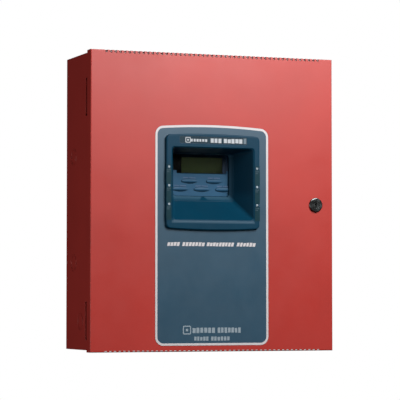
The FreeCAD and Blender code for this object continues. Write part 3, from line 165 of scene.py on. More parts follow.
def surface(name, colour, roughness, *, metallic=0.0, mottle=0.10, mottle_scale=24.0, grain=0.0,
            grain_scale=1400.0, rough_spread=0.08, wear=None, wear_radius=0.9 * MM,
            round_edges=0.4 * MM, tint=None, vector=None, **sockets):
    """A finish with uneven tone, uneven gloss, a fine bumpy grain and worn edges.

    mottle is how far the tone varies, grain is the bumps' height in mm, and wear is the colour of
    worn edges. tint(tree, colour) may add print or painted light and shade, and vector(tree) may
    stretch the grain. The other names are the shader's own sockets, with _ for a space.
    """
    material = bpy.data.materials.new(name)
    material.use_nodes = True
    tree = material.node_tree
    shader = tree.nodes["Principled BSDF"]
    tone = spread(tree, noise(tree, mottle_scale, 4.0, 0.55), *NOISE_RANGE)
    shade = blend_colours(tree, tone, rgba(colour, 1 - mottle), rgba(colour, 1 + mottle))
    if tint:
        shade = tint(tree, shade)
    smudge = noise(tree, mottle_scale * SMUDGE_SCALE, 5.0, 0.6)
    gloss = spread(tree, smudge, *NOISE_RANGE, roughness - rough_spread, roughness + rough_spread)
    if wear:
        patchy = spread(tree, noise(tree, WEAR_SCALE, 3.0, 0.6), *WEAR_RANGE)
        worn = times(tree, edge_mask(tree, wear_radius), patchy)
        shade = wash(tree, shade, worn, WEAR_STRENGTH, wear)
    put(tree, shader.inputs["Base Color"], shade)
    put(tree, shader.inputs["Roughness"], gloss)
    shader.inputs["Metallic"].default_value = metallic
    for socket, value in sockets.items():
        shader.inputs[socket.replace("_", " ")].default_value = value
    normal = add(tree, "Bevel", {"samples": BEVEL_SAMPLES}, {"Radius": round_edges}).outputs[0]
    if grain:
        height = noise(tree, grain_scale, 3.0, 0.6, vector(tree) if vector else None)
        inputs = {"Height": height, "Distance": grain * MM, "Strength": 1.0, "Normal": normal}
        normal = add(tree, "Bump", {}, inputs).outputs[0]
    put(tree, shader.inputs["Normal"], normal)
    return material


# ---------------------------------------------------------------- outlines, as (x, z) points
CORNER_STEPS = 5
ARCH_CORNER_STEPS = 8
ARCH_CROWN_STEPS = 24
FLAT_RADIUS = 1e4  # stands for a straight end


def arc_points(cx, cz, radius, start, end, steps):
    """Points on a circle from one angle to another, in degrees."""
    turns = [math.radians(start + (end - start) * i / steps) for i in range(steps + 1)]
    return [(cx + radius * math.cos(t), cz + radius * math.sin(t)) for t in turns]


def rounded(x0, x1, z0, z1, radius):
    """A rectangle with round corners."""
    r = min(radius, (x1 - x0) / 2.01, (z1 - z0) / 2.01)
    corners = [(x1 - r, z0 + r, -90), (x1 - r, z1 - r, 0), (x0 + r, z1 - r, 90),
               (x0 + r, z0 + r, 180)]
    return [point for cx, cz, start in corners
            for point in arc_points(cx, cz, r, start, start + 90, CORNER_STEPS)]


def card(x0, x1, z0, z1, radius):
    """A rectangle with round corners, given in mm."""
    return rounded(x0 * MM, x1 * MM, z0 * MM, z1 * MM, radius * MM)


def arched(cx, half, z0, z1, bow_bottom, bow_top, corner, inset):
    """An upright plate's outline with bowed ends and round corners, moved inward by inset."""
    inner_half, corner = half - inset, corner - inset
    points = []
    for end, z, bow in ((1, z1, bow_top), (-1, z0, bow_bottom)):
        radius = (half * half + bow * bow) / (2 * bow) if bow else FLAT_RADIUS
        arc_z = z + end * (bow - radius)
        x_f = inner_half - corner
        z_f = arc_z + end * math.sqrt((radius - inset - corner) ** 2 - x_f ** 2)
        lean = math.degrees(math.atan2(abs(z_f - arc_z), x_f))
        right = arc_points(x_f, z_f, corner, 0, end * lean, ARCH_CORNER_STEPS)
        crown = arc_points(0, arc_z, radius - inset, end * lean, end * (180 - lean),
                           ARCH_CROWN_STEPS)
        left = [(-x, z_) for x, z_ in reversed(right)]
        run = right + crown[1:-1] + left
        points += run if end > 0 else list(reversed(run))
    return [(cx + x, z) for x, z in points]


def leaning(x0, x1, z0, z1, lean):
    """A parallelogram whose top is moved sideways."""
    return [(x0, z0), (x1, z0), (x1 + lean, z1), (x0 + lean, z1)]


# ---------------------------------------------------------------- pieces
INK = 0.05 * MM  # thickness of printed ink
SINK = 0.01 * MM  # how far ink reaches into the face under it


def finish_piece(name, mesh, body, material):
    """Puts a finished bmesh into the scene as a piece that rides on a body."""
    data = bpy.data.meshes.new(name)
    bmesh.ops.recalc_face_normals(mesh, faces=mesh.faces)
    mesh.to_mesh(data)
    mesh.free()
    data.materials.append(material)
    piece = bpy.data.objects.new(name, data)
    bpy.context.scene.collection.objects.link(piece)
    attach(piece, body)


def prism(mesh, outline, y_front, y_rear):
    """A flat solid that looks along -Y."""
    front = [mesh.verts.new((x, y_front, z)) for x, z in outline]
    rear = [mesh.verts.new((x, y_rear, z)) for x, z in outline]
    mesh.faces.new(front)
    mesh.faces.new(list(reversed(rear)))
    for i in range(len(outline)):
        j = (i + 1) % len(outline)
        mesh.faces.new((front[j], front[i], rear[i], rear[j]))


def ring(mesh, outer, inner, y_front, y_rear):
    """A flat frame between two outlines with the same number of points."""
    sides = ((outer, y_front), (inner, y_front), (inner, y_rear), (outer, y_rear))
    loops = [[mesh.verts.new((x, y, z)) for x, z in outline] for outline, y in sides]
    for i in range(len(outer)):
        j = (i + 1) % len(outer)
        for k in range(len(loops)):
            a, b = loops[k], loops[(k + 1) % len(loops)]
            mesh.faces.new((a[i], a[j], b[j], b[i]))


def printed(name, outlines, face_y, body, material):
    """Ink shapes on a face that looks along -Y."""
    mesh = bmesh.new()
    for outline in outlines:
        prism(mesh, outline, face_y - INK, face_y + SINK)
    finish_piece(name, mesh, body, material)


def greeked(x0, x1, z0, z1, words, seed, lean=0.0, gap=0.10, glyph=0.8):
    """Plain blocks that stand for words: each word is a row of glyph-sized blocks.

    Each word is a start and an end, as shares of the width. glyph is a block's width over its
    height, and gap is the share of that left open.
    """
    draw = random.Random(seed)
    tall = z1 - z0
    outlines = []
    for start, end in words:
        left, right = x0 + start * (x1 - x0), x0 + end * (x1 - x0)
        count = max(1, round((right - left) / (tall * glyph)))
        step = (right - left) / count
        for i in range(count):
            a = left + i * step
            low = z0 + tall * draw.choice((0, 0, 0.05))
            high = z1 - tall * draw.choice((0, 0, 0.08))
            width = step * (1 - gap) * draw.uniform(0.86, 1.0)
            outlines.append(leaning(a, a + width, low, high, lean * (high - low)))
    return outlines


def word_row(corner, words, z_range, seed, lean=0.0, glyph=0.8, gap=0.10):
    """Greeked words, whose starts, ends and heights are in mm from a place (x, z)."""
    cx, cz = corner
    low, high = (cz + z * MM for z in z_range)
    return [outline for i, (start, end) in enumerate(words)
            for outline in greeked(cx + start * MM, cx + end * MM, low, high, ((0, 1),), seed + i,
                                   lean, gap, glyph)]


def text_block(x0, x1, z1, rows, pitch, tall, seed):
    """Rows of small greeked print under each other, in mm. Each row is two words."""
    draw = random.Random(seed)
    lines = []
    for row in range(rows):
        high = (z1 - row * pitch) * MM
        split = draw.uniform(0.25, 0.6)
        end = draw.uniform(0.7, 1.0)
        words = ((0, split - 0.03), (split, end))
        lines += greeked(x0 * MM, x1 * MM, high - tall * MM, high, words, seed + row, gap=0.25)
    return lines


# ---------------------------------------------------------------- places, from the CAD
overlay_low, overlay_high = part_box("front_overlay")
bezel_low, bezel_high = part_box("display_bezel")
plate_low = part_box("nameplate")[0]
pipe_low, pipe_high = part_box("light_pipes")
fascia_low, fascia_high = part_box("display_fascia")
pane_low, pane_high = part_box("lcd_window")
panel_x = (overlay_low.x + overlay_high.x) / 2
overlay_face = overlay_low.y
bezel_face = bezel_low.y
fascia_face = fascia_low.y

# ---------------------------------------------------------------- finishes
RED = (0.50, 0.036, 0.026)
RED_WORN = (0.62, 0.16, 0.12)
HINGE_SHADED_RED = (0.16, 0.010, 0.007)  # the same paint, shaded inside the hinge slots
FILM = (0.026, 0.078, 0.127)
TEAL = (0.0008, 0.040, 0.078)
BLUE = (0.018, 0.092, 0.180)
# painted sheen on the band at the hood's rear end
TINNED = (0.42, 0.43, 0.40)
SHEEN_BAND_BLUE = (0.045, 0.110, 0.165)
# painted shade and painted shadow inside the hood
PAINTED_SHADE_BLUE = (0.0003, 0.012, 0.026)
# painted highlight on the hood's lip
LIP_HIGHLIGHT_BLUE = (0.052, 0.112, 0.165)
# painted highlight on the hood's front edges
EDGE_HIGHLIGHT_BLUE = (0.150, 0.200, 0.300)
CLEAR_IOR = 1.49
PEEL_SCALE = 620.0  # orange peel in the paint
MOULD_SCALE = 2200.0  # fine texture of moulded plastic

# Where the hood's painted light and shade change
SHADE_DEPTH = (bezel_face + 2 * MM, bezel_face + 6 * MM)
SHADE_Z = (bezel_low.z + 53.8 * MM, bezel_low.z + 67.8 * MM)
BAND_REAR = bezel_high.y
BAND_FRONT = bezel_high.y - 10.5 * MM
SEAM = (BAND_REAR - 1.4 * MM, BAND_REAR - 0.6 * MM)
SHEEN_NOTCH_REACH = (9.0 * MM, 1.2 * MM)  # half width of the dark notch in the band's painted sheen, at the band's front and rear
LIP_Z = (bezel_low.z + 11.2 * MM, bezel_low.z + 14.8 * MM)
LIP_HALF = 73.0 * MM
RIM_DEPTH = (bezel_face + 3.0 * MM, bezel_face + 2.0 * MM)


def powder_coat():
    """Fire-red powder coat: a faint orange peel, uneven gloss and lighter worn edges."""
    return surface("red_powder_coat", RED, 0.42, mottle=0.05, mottle_scale=9.0, grain=0.035,
                   grain_scale=PEEL_SCALE, rough_spread=0.04, wear=RED_WORN,
                   round_edges=0.9 * MM, Specular_IOR_Level=0.55)


def steel(name, colour, roughness, brushed=None):
    """Bare or plated metal; brushed gives the grain's stretch on each axis."""
    vector = (lambda tree: stretched(tree, brushed)) if brushed else None
    return surface(name, colour, roughness, metallic=1.0, mottle_scale=60.0, grain=0.012,
                   grain_scale=1500.0, vector=vector, round_edges=0.3 * MM)


def spangled(name, colour):
    """Galvanised sheet: zinc crystals of uneven brightness."""
    def crystals(tree, shade):
        inputs = {"Vector": place(tree), "Scale": 130.0}
        cells = add(tree, "TexVoronoi", {"feature": "F1"}, inputs).outputs["Color"]
        grey = add(tree, "SeparateColor", {}, {"Color": cells}).outputs[0]
        return blend_colours(tree, spread(tree, grey, 0, 1, 0, 0.35), shade, rgba(colour, 0.55))
    return surface(name, colour, 0.38, metallic=1.0, mottle=0.06, grain=0.01, tint=crystals)


def moulded(name, colour, roughness, grain=0.02, **more):
    """Moulded plastic with a fine texture."""
    return surface(name, colour, roughness, grain=grain, grain_scale=MOULD_SCALE, **more)


def hood_moulding():
    """Dark blue moulded plastic.

    A painted sheen lightens the band inside the hood's rear end, broken by a dark notch in the
    middle, and painted shadow darkens the seam at its rear. Painted highlights lighten the lip under
    the opening and the front edges, and painted shade darkens the upper inside.
    """
    def painted_light_and_shade(tree, shade):
        axes = add(tree, "SeparateXYZ", {}, {"Vector": place(tree)}).outputs
        x, depth, height = axes["X"], axes["Y"], axes["Z"]

        # painted shade: darker deeper in and higher up inside the hood
        inside = times(tree, spread(tree, depth, *SHADE_DEPTH), spread(tree, height, *SHADE_Z))
        shade = wash(tree, shade, inside, 0.45, PAINTED_SHADE_BLUE)

        # painted sheen: a lighter band near the hood's rear end, broken in the middle by a dark
        # notch that narrows towards the rear
        band = times(tree, spread(tree, depth, BAND_FRONT, BAND_REAR - 3.0 * MM),
                     spread(tree, depth, SEAM[1], SEAM[0]))
        off_centre = calc(tree, "ABSOLUTE", calc(tree, "SUBTRACT", x, panel_x))
        reach = spread(tree, depth, BAND_FRONT, BAND_REAR, *SHEEN_NOTCH_REACH)
        clear_of_sheen_notch = calc(tree, "SUBTRACT", off_centre, reach)
        band = times(tree, band, spread(tree, clear_of_sheen_notch, -1.0 * MM, 1.5 * MM))
        shade = wash(tree, shade, band, 0.8, SHEEN_BAND_BLUE)
        # painted shadow in the seam at the band's rear end
        shade = wash(tree, shade, spread(tree, depth, *SEAM), 0.7, PAINTED_SHADE_BLUE)

        # painted highlight on the lip under the opening, on the front rim only
        rim = spread(tree, depth, *RIM_DEPTH)
        lip = times(tree, within(tree, height, *LIP_Z, 0.4 * MM),
                    within(tree, x, panel_x - LIP_HALF, panel_x + LIP_HALF, 0.6 * MM))
        lip = times(tree, lip, rim)
        shade = wash(tree, shade, lip, 0.75, LIP_HIGHLIGHT_BLUE)
        # painted highlight along the front edges
        painted_edge_highlight = times(tree, edge_mask(tree, 0.9 * MM, 0.7), rim)
        return wash(tree, shade, painted_edge_highlight, 0.5, EDGE_HIGHLIGHT_BLUE)
    return moulded("hood_plastic", TEAL, 0.42, mottle=0.06, rough_spread=0.05,
                   round_edges=0.6 * MM, tint=painted_light_and_shade, Specular_IOR_Level=0.18)


def key_moulding():
    """Soft blue keys with painted shade: darker on top of the crown and darkest under it."""
    def crown(tree, shade):
        normal = add(tree, "NewGeometry").outputs["Normal"]
        up = add(tree, "SeparateXYZ", {}, {"Vector": normal}).outputs["Z"]
        # painted shade under the key, where the surface faces down
        under = spread(tree, up, -0.02, -0.30, 0.0, 0.85)
        shade = blend_colours(tree, under, shade, rgba(BLUE, 0.30))
        # painted shade on top of the key, where the surface faces up
        above = spread(tree, up, 0.05, 0.35, 0.0, 0.4)
        return blend_colours(tree, above, shade, rgba(BLUE, 0.55))
    return moulded("key_plastic", BLUE, 0.50, mottle=0.05, tint=crown, Specular_IOR_Level=0.2)


def film():
    """Printed polycarbonate film with a fine velvet texture."""
    return surface("overlay_film", FILM, 0.41, mottle=0.07, mottle_scale=14.0, grain=0.02,
                   grain_scale=1900.0, rough_spread=0.04, round_edges=0.2 * MM,
                   Specular_IOR_Level=0.60)


def circuit_board(name, colour):
    """Solder mask over copper tracks, with tinned pads."""
    def tracks(tree, shade):
        flat = stretched(tree, (1.0, 0.0, 1.0))
        black, white = (0, 0, 0, 1), (1, 1, 1, 1)
        brick = add(tree, "TexBrick", {"offset": 0.37}, {
            "Vector": flat, "Scale": 1.0, "Mortar Size": 0.5 * MM, "Brick Width": 11.0 * MM,
            "Row Height": 4.2 * MM, "Color1": black, "Color2": black, "Mortar": white})
        routed = spread(tree, noise(tree, 130.0, 1.0), 0.46, 0.50)
        lines = times(tree, brick.outputs["Fac"], routed)
        shade = wash(tree, shade, lines, 0.6, colour, 1.7)
        holes = add(tree, "TexVoronoi", {"feature": "F1"}, {
            "Vector": flat, "Scale": 190.0, "Randomness": 0.35})
        pads = times(tree, spread(tree, holes.outputs["Distance"], 0.17, 0.13), routed)
        return wash(tree, shade, pads, 0.75, TINNED)
    return surface(name, colour, 0.32, mottle=0.05, tint=tracks, grain=0.006, grain_scale=900.0)


def clear(name, colour, roughness, transmission=1.0):
    """Clear plastic or glass."""
    return surface(name, colour, roughness, mottle=0.02, rough_spread=0.03, round_edges=0.2 * MM,
                   Transmission_Weight=transmission, IOR=CLEAR_IOR)


finishes = {
    "red_enamel": powder_coat(),
    "zinc_steel": steel("zinc_steel", (0.56, 0.57, 0.55), 0.34),
    "bright_chrome": steel("bright_chrome", (0.16, 0.17, 0.17), 0.24),
    "galvanised": spangled("galvanised", (0.52, 0.54, 0.55)),
    "overlay_film": film(),
    "hood_plastic": hood_moulding(),
    "fascia_plastic": moulded("fascia_plastic", BLUE, 0.50, mottle=0.05, Specular_IOR_Level=0.25),
    "key_plastic": key_moulding(),
    "label_plate": moulded("label_plate", (0.008, 0.032, 0.050), 0.35, grain=0.003,
                           Specular_IOR_Level=0.25),
    "clear_acrylic": clear("clear_acrylic", (0.42, 0.50, 0.54), 0.30, transmission=0.20),
    "display_glass": moulded("display_glass", (0.050, 0.062, 0.020), 0.12, grain=0.0),
    "display_pane": clear("display_pane", (0.9, 0.95, 0.95), 0.03),
    "black_steel": moulded("black_steel", (0.006, 0.007, 0.009), 0.35),
    "backlight_white": moulded("backlight_white", (0.75, 0.75, 0.70), 0.4),
    "silicone_mat": moulded("silicone_mat", (0.05, 0.06, 0.07), 0.65),
    "lamp_epoxy": moulded("lamp_epoxy", (0.70, 0.68, 0.60), 0.25, grain=0.0),
    "board_green": circuit_board("board_green", (0.012, 0.105, 0.042)),
    "terminal_plastic": moulded("terminal_plastic", (0.015, 0.14, 0.07), 0.42),
    "black_plastic": moulded("black_plastic", (0.012, 0.012, 0.013), 0.45),
    "relay_plastic": moulded("relay_plastic", (0.03, 0.06, 0.20), 0.25),
    "can_sleeve": moulded("can_sleeve", (0.012, 0.016, 0.06), 0.2),
    "raw_aluminium": steel("raw_aluminium", (0.70, 0.71, 0.72), 0.4, brushed=(1.0, 1.0, 0.04)),
    "connector_nylon": moulded("connector_nylon", (0.74, 0.70, 0.58), 0.4),
    "fuse_glass": clear("fuse_glass", (0.9, 0.93, 0.93), 0.05),
    "core_iron": moulded("core_iron", (0.045, 0.042, 0.042), 0.5, metallic=0.6),
    "coil_tape": moulded("coil_tape", (0.50, 0.36, 0.05), 0.3),
    "phenolic": moulded("phenolic", (0.025, 0.016, 0.012), 0.4),
    "battery_abs": moulded("battery_abs", (0.022, 0.023, 0.026), 0.42),
    "wire_red": moulded("wire_red", (0.45, 0.02, 0.015), 0.38),
    "wire_black": moulded("wire_black", (0.012, 0.012, 0.012), 0.38),
    "wire_blue": moulded("wire_blue", (0.02, 0.07, 0.35), 0.38),
    "ribbon_grey": moulded("ribbon_grey", (0.30, 0.30, 0.32), 0.5),
    "brass_tab": steel("brass_tab", (0.70, 0.58, 0.34), 0.35),
}

for part in frame["record"]["subparts"]:
    node = nodes[part["node"]]
    node.data.materials.clear()
    node.data.materials.append(finishes[part["material_slot"]])

# painted shade: the hinge leaves get a darkened copy of the red paint, for the shade inside the
# hinge slots
hinge_shaded_coat = surface("hinge_painted_shade", HINGE_SHADED_RED, 0.60, mottle=0.12, grain=0.035,
                     grain_scale=PEEL_SCALE, Specular_IOR_Level=0.2)
for leaves in ("box_hinge_leaves", "door_hinge_leaves"):
    nodes[leaves].data.materials[0] = hinge_shaded_coat


def ink(name, colour, roughness=0.5, mottle=0.05, mottle_scale=400.0, grain=0.004, **more):
    """Screen-printed ink, with fine uneven cover."""
    return surface(name, colour, roughness, mottle=mottle, mottle_scale=mottle_scale, grain=grain,
                   **more)


white_ink = ink("white_ink", (0.70, 0.66, 0.67), mottle=0.03)
pale_ink = ink("pale_ink", (0.14, 0.19, 0.23))
faint_ink = ink("faint_ink", (0.035, 0.080, 0.115))
dim_ink = ink("dim_ink", (0.060, 0.120, 0.230))
grey_ink = ink("grey_ink", (0.30, 0.37, 0.42))
bright_ink = ink("bright_ink", (0.52, 0.55, 0.58), 0.4)
strip_ink = ink("strip_ink", (0.004, 0.036, 0.050), 0.4, mottle=0.12, mottle_scale=200.0,
                Specular_IOR_Level=0.2)
label_paper = ink("label_paper", (0.62, 0.62, 0.58), 0.55, mottle=0.06, mottle_scale=60.0,
                  grain=0.006)
label_ink = ink("label_ink", (0.02, 0.02, 0.025), grain=0.0)
warn_ink = ink("warn_ink", (0.62, 0.42, 0.02), mottle_scale=200.0, grain=0.0)
# the display's dark surround, shaded copy: black, as painted shade at its left
mask_shaded_black = ink("mask_shaded_black", (0.0006, 0.0008, 0.0008), 0.25, mottle_scale=24.0, grain=0.002,
                 Specular_IOR_Level=0.1)
# the same dark surround, lit copy: navy, at its top and right
mask_lit_navy = ink("mask_lit_navy", (0.004, 0.022, 0.052), 0.35, mottle_scale=24.0, grain=0.002,
                Specular_IOR_Level=0.2)

# ---------------------------------------------------------------- print on the overlay
OVERLAY_ARCH = 4.6 * MM
OVERLAY_CORNER = 14.0 * MM
BORDER_EDGES = (0.1 * MM, 3.8 * MM)  # in from the overlay's edge
overlay_foot = (panel_x, overlay_low.z)

# Words' starts and ends in mm from the overlay's centre line, and heights from its lower edge
TITLE_WORDS = ((-79.3, -57.4), (-53.2, -13.6), (-10.4, 37.8), (42.8, 76.4))
TITLE_Z = (162.4, 168.8)
MAKER_WORDS = ((-34.8, 6.2), (9.2, 51.7))
MAKER_Z = (20.4, 29.2)
SITE_WORDS = ((-31.8, -5.8), (-2.3, 31.8))
SITE_Z = (7.8, 14.6)
MAKER_SQUARE = (-44.5, 25.3)


def overlay_outline(inset):
    """The overlay's outline, moved inward."""
    half = (overlay_high.x - overlay_low.x) / 2
    return arched(panel_x, half, overlay_low.z, overlay_high.z - OVERLAY_ARCH, 0, OVERLAY_ARCH,
                  OVERLAY_CORNER, inset)


def overlay_border():
    """The white line printed round the overlay's edge."""
    mesh = bmesh.new()
    outer, inner = (overlay_outline(inset) for inset in BORDER_EDGES)
    ring(mesh, outer, inner, overlay_face - INK, overlay_face + SINK)
    finish_piece("overlay_border", mesh, "door", white_ink)


def plain_square(name, corner, offset, half, band, face, material):
    """A generic mark, placed in mm from a corner: a square frame with a smaller square in it."""
    cx, cz = corner[0] / MM + offset[0], corner[1] / MM + offset[1]
    outer, inner, core = (card(cx - h, cx + h, cz - h, cz + h, half * bend)
                          for h, bend in ((half, 0.35), (half - band, 0.2), (half * 0.3, 0.08)))
    mesh = bmesh.new()
    ring(mesh, outer, inner, face - INK, face + SINK)
    prism(mesh, core, face - INK, face + SINK)
    finish_piece(name, mesh, "door", material)


def overlay_print():
    """The line under the hood, and two lines and a square at the foot."""
    title = word_row(overlay_foot, TITLE_WORDS, TITLE_Z, 3, lean=0.27, glyph=0.86, gap=0.12)
    printed("overlay_title_marks", title, overlay_face, "door", white_ink)
    foot = word_row(overlay_foot, MAKER_WORDS, MAKER_Z, 11, glyph=0.72, gap=0.18)
    foot += word_row(overlay_foot, SITE_WORDS, SITE_Z, 17, glyph=0.8, gap=0.2)
    printed("overlay_maker_marks", foot, overlay_face, "door", grey_ink)
    plain_square("overlay_maker_square", overlay_foot, MAKER_SQUARE, 7.2, 1.9, overlay_face,
                 grey_ink)


# ---------------------------------------------------------------- print on the nameplate
plate_foot = (panel_x, plate_low.z)

# In mm from the plate's centre line and its lower edge
PLATE_SQUARE = (-44.7, 5.6)
PLATE_SMALL_WORDS = ((-39.8, -9.9),)
PLATE_SMALL_Z = (3.0, 7.4)
PLATE_WORDS = ((-4.9, 15.5), (18.3, 52.2))
PLATE_Z = (1.6, 9.0)
STRIPE_X = (53.4, 58.4)
STRIPE_Z = (1.2, 10.4)


def nameplate_print():
    """A square, a small word, two larger words and a pale stripe."""
    marks = word_row(plate_foot, PLATE_SMALL_WORDS, PLATE_SMALL_Z, 23, glyph=1.1, gap=0.25)
    marks += word_row(plate_foot, PLATE_WORDS, PLATE_Z, 29, glyph=1.0, gap=0.14)
    face = plate_low.y
    printed("nameplate_marks", marks, face, "door", bright_ink)
    plain_square("nameplate_square", plate_foot, PLATE_SQUARE, 4.6, 1.3, face, bright_ink)
    x0, x1 = (plate_foot[0] + x * MM for x in STRIPE_X)
    z0, z1 = (plate_foot[1] + z * MM for z in STRIPE_Z)
    stripe = rounded(x0, x1, z0, z1, 0.4 * MM)
    printed("nameplate_stripe", [stripe], face, "door", pale_ink)


# ---------------------------------------------------------------- labels beside the indicators
PIPE_HALF = 2.45 * MM  # from a light pipe's centre to the edge of its box
PIPE_INSET = 2.0 * MM  # the strip's centre line, in from the outer pipes' far edges
STRIP_HALF = 4.4 * MM
STRIP_Z = (bezel_low.z + 15.8 * MM, bezel_low.z + 106.8 * MM)
HOLE_HALF = 2.3 * MM
pipe_z = (pipe_high.z - PIPE_HALF, (pipe_high.z + pipe_low.z) / 2, pipe_low.z + PIPE_HALF)
strip_x = (pipe_high.x - pipe_low.x) / 2 - PIPE_INSET


def indicator_strips():
    """A dark film strip down each side bar, cut at its light pipes, with two lines under each."""
    strips = bmesh.new()
    lines = []
    label_half, label_tall, label_drop, row_pitch = (v * MM for v in (3.4, 1.7, 4.2, 3.0))
    for side in (-1, 1):
        cx = panel_x + side * strip_x
        holes = [z + edge for z in pipe_z for edge in (HOLE_HALF, -HOLE_HALF)]
        cuts = [STRIP_Z[1]] + holes + [STRIP_Z[0]]
        for top, bottom in zip(cuts[0::2], cuts[1::2]):
            outline = rounded(cx - STRIP_HALF, cx + STRIP_HALF, bottom, top, 0.4 * MM)
            prism(strips, outline, bezel_face - INK, bezel_face + SINK)
        for k, z in enumerate(pipe_z):
            for row in (0, 1):
                high = z - label_drop - row * row_pitch
                words = ((0, 0.95 - 0.3 * row),)
                lines += greeked(cx - label_half, cx + label_half, high - label_tall, high, words,
                                 40 + 7 * k + row, gap=0.25)
    finish_piece("indicator_strips", strips, "door", strip_ink)
    printed("indicator_labels", lines, bezel_face - INK, "door", faint_ink)


# ---------------------------------------------------------------- print round the display
VIEW_X = (pane_low.x + 7.6 * MM, pane_high.x - 6.0 * MM)  # the part of the pane left clear
VIEW_TOP = pane_high.z - 3.0 * MM
PANE_MARGIN = 0.2 * MM
MASK_GAP = 0.3 * MM  # between the fascia's print and the pane
MASK_MARGIN = 1.0 * MM
MASK_Z = (fascia_high.z - 36.8 * MM, fascia_high.z - 2.0 * MM)


def window_border():
    """Print round the edge of the window pane: black at the left as painted shade, navy at the top
    and right as its lit side.
    """
    x0, x1 = pane_low.x + PANE_MARGIN, pane_high.x - PANE_MARGIN
    z0, z1 = pane_low.z + PANE_MARGIN, pane_high.z - PANE_MARGIN
    left = rounded(x0, VIEW_X[0], z0, z1, 0.3 * MM)
    right = rounded(VIEW_X[1], x1, z0, z1, 0.3 * MM)
    above = rounded(*VIEW_X, VIEW_TOP, z1, 0.3 * MM)
    printed("window_border_left", [left], pane_low.y, "cabinet", mask_shaded_black)
    printed("window_border", [right, above], pane_low.y, "cabinet", mask_lit_navy)


def display_mask():
    """Dark print round the display's window, over the upper part of the fascia: black at the left as
    painted shade, navy at the top and right as its lit side.
    """
    x0, x1 = pane_low.x - MASK_GAP, pane_high.x + MASK_GAP
    left = rounded(fascia_low.x + MASK_MARGIN, x0, *MASK_Z, 0.5 * MM)
    right = rounded(x1, fascia_high.x - MASK_MARGIN, *MASK_Z, 0.5 * MM)
    above = rounded(x0, x1, pane_high.z + MASK_GAP, MASK_Z[1], 0.3 * MM)
    printed("display_mask_left", [left], fascia_face, "cabinet", mask_shaded_black)
    printed("display_mask", [right, above], fascia_face, "cabinet", mask_lit_navy)


def key_labels():
    """A short pale line of greeked print above each key."""
    half, tall, rise = 11 * MM, 2.2 * MM, 6.6 * MM
    lines = []
    for i, key in enumerate(("acknowledge", "silence", "drill", "reset", "lamp_test")):
        low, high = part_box("key_" + key)
        cx = (low.x + high.x) / 2
        top = (low.z + high.z) / 2 + rise
        lines += greeked(cx - half, cx + half, top - tall, top, ((0, 0.42), (0.5, 1)), 60 + i,
                         gap=0.2)
    printed("key_labels", lines, fascia_face, "cabinet", dim_ink)


# ---------------------------------------------------------------- print inside the cabinet
SHEET = 1.2 * MM  # steel sheet

# Legends in mm from the board's lower left corner: left, right, top, number of rows
LEGENDS = ((18, 106, 257, 1), (172, 244, 257, 1), (286, 295, 240, 8), (286, 295, 152, 8),
           (286, 295, 70, 6), (216, 284, 19, 1), (48, 98, 244, 1), (158, 198, 244, 1),
           (48, 88, 178, 2), (8, 50, 70, 1), (98, 128, 26, 1), (242, 260, 220, 6))
TERMINAL_PITCH = 7.6  # a column of legends has a row for each terminal
LINE_PITCH = 4.0


def board_legends():
    """White legends on the control board, beside its terminals and parts."""
    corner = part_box("main_board")[0]
    board_x, board_z = corner.x / MM, corner.z / MM
    lines = []
    for k, (x0, x1, top, rows) in enumerate(LEGENDS):
        pitch = TERMINAL_PITCH if rows > 2 else LINE_PITCH
        lines += text_block(board_x + x0, board_x + x1, board_z + top, rows, pitch, 1.7,
                            100 + 13 * k)
    printed("board_legends", lines, corner.y, "cabinet", white_ink)


def battery_sign(cx, cz, plus):
    """A minus mark, or a plus mark, which has two more arms; in mm."""
    half, stroke = 3.0, 0.6
    outlines = [card(cx - half, cx + half, cz - stroke, cz + stroke, 0.2)]
    if plus:
        outlines.append(card(cx - stroke, cx + stroke, cz + stroke, cz + half, 0.1))
        outlines.append(card(cx - stroke, cx + stroke, cz - half, cz - stroke, 0.1))
    return outlines


def battery_labels():
    """A pale label with greeked print on the front of each battery, with a plus and a minus."""
    half, tall, drop = 52, 46, 22
    for side in ("left", "right"):
        low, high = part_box("battery_" + side)
        cx = (low.x + high.x) / 2 / MM
        top = high.z / MM - drop
        paper = card(cx - half, cx + half, top - tall, top, 2)
        printed("battery_label_" + side, [paper], low.y, "cabinet", label_paper)
        lines = text_block(cx - 30, cx + 40, top - 18, 6, 4.2, 1.9, 300)
        lines += greeked((cx - 30) * MM, (cx + 30) * MM, (top - 13) * MM, (top - 5) * MM,
                         ((0, 0.4), (0.5, 1)), 310)
        lines += battery_sign(cx - 43, top - 9, True) + battery_sign(cx + 45, top - 9, False)
        printed("battery_print_" + side, lines, low.y - INK, "cabinet", label_ink)


def door_chart():
    """A wiring chart stuck to the inside of the door: a sheet with framed blocks of print."""
    door_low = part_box("door_panel")[0]
    inner = door_low.y + SHEET
    x0, x1 = -95.0, 75.0
    z0, z1 = (door_low.z / MM + z for z in (29.6, 169.6))
    boxes, box_pitch, box_tall, box_line = 5, 20, 16, 0.6
    print_front, print_rear = inner + 1.5 * INK, inner + 3 * INK

    sheet = bmesh.new()
    prism(sheet, card(x0, x1, z0, z1, 1.5), inner - SINK, inner + 2 * INK)
    finish_piece("door_chart", sheet, "door", label_paper)

    lines = text_block(x0 + 8, x1 - 60, z1 - 8, 2, 6.0, 3.0, 400)
    lines += text_block(x0 + 8, x0 + 60, z1 - 30, 22, 4.4, 1.7, 420)
    frames = []
    for k in range(boxes):
        low = z0 + 10 + k * box_pitch
        lines += text_block(x1 - 70, x1 - 44, low + 13, 3, 3.6, 1.4, 450 + k)
        frames.append([card(x1 - 74 + d, x1 - 10 - d, low + d, low + box_tall - d, radius)
                       for d, radius in ((0, 1.0), (box_line, 0.6))])
    print_mesh = bmesh.new()
    for outline in lines:
        prism(print_mesh, outline, print_front, print_rear)
    for outer, inside in frames:
        ring(print_mesh, outer, inside, print_front, print_rear)
    finish_piece("door_chart_print", print_mesh, "door", label_ink)


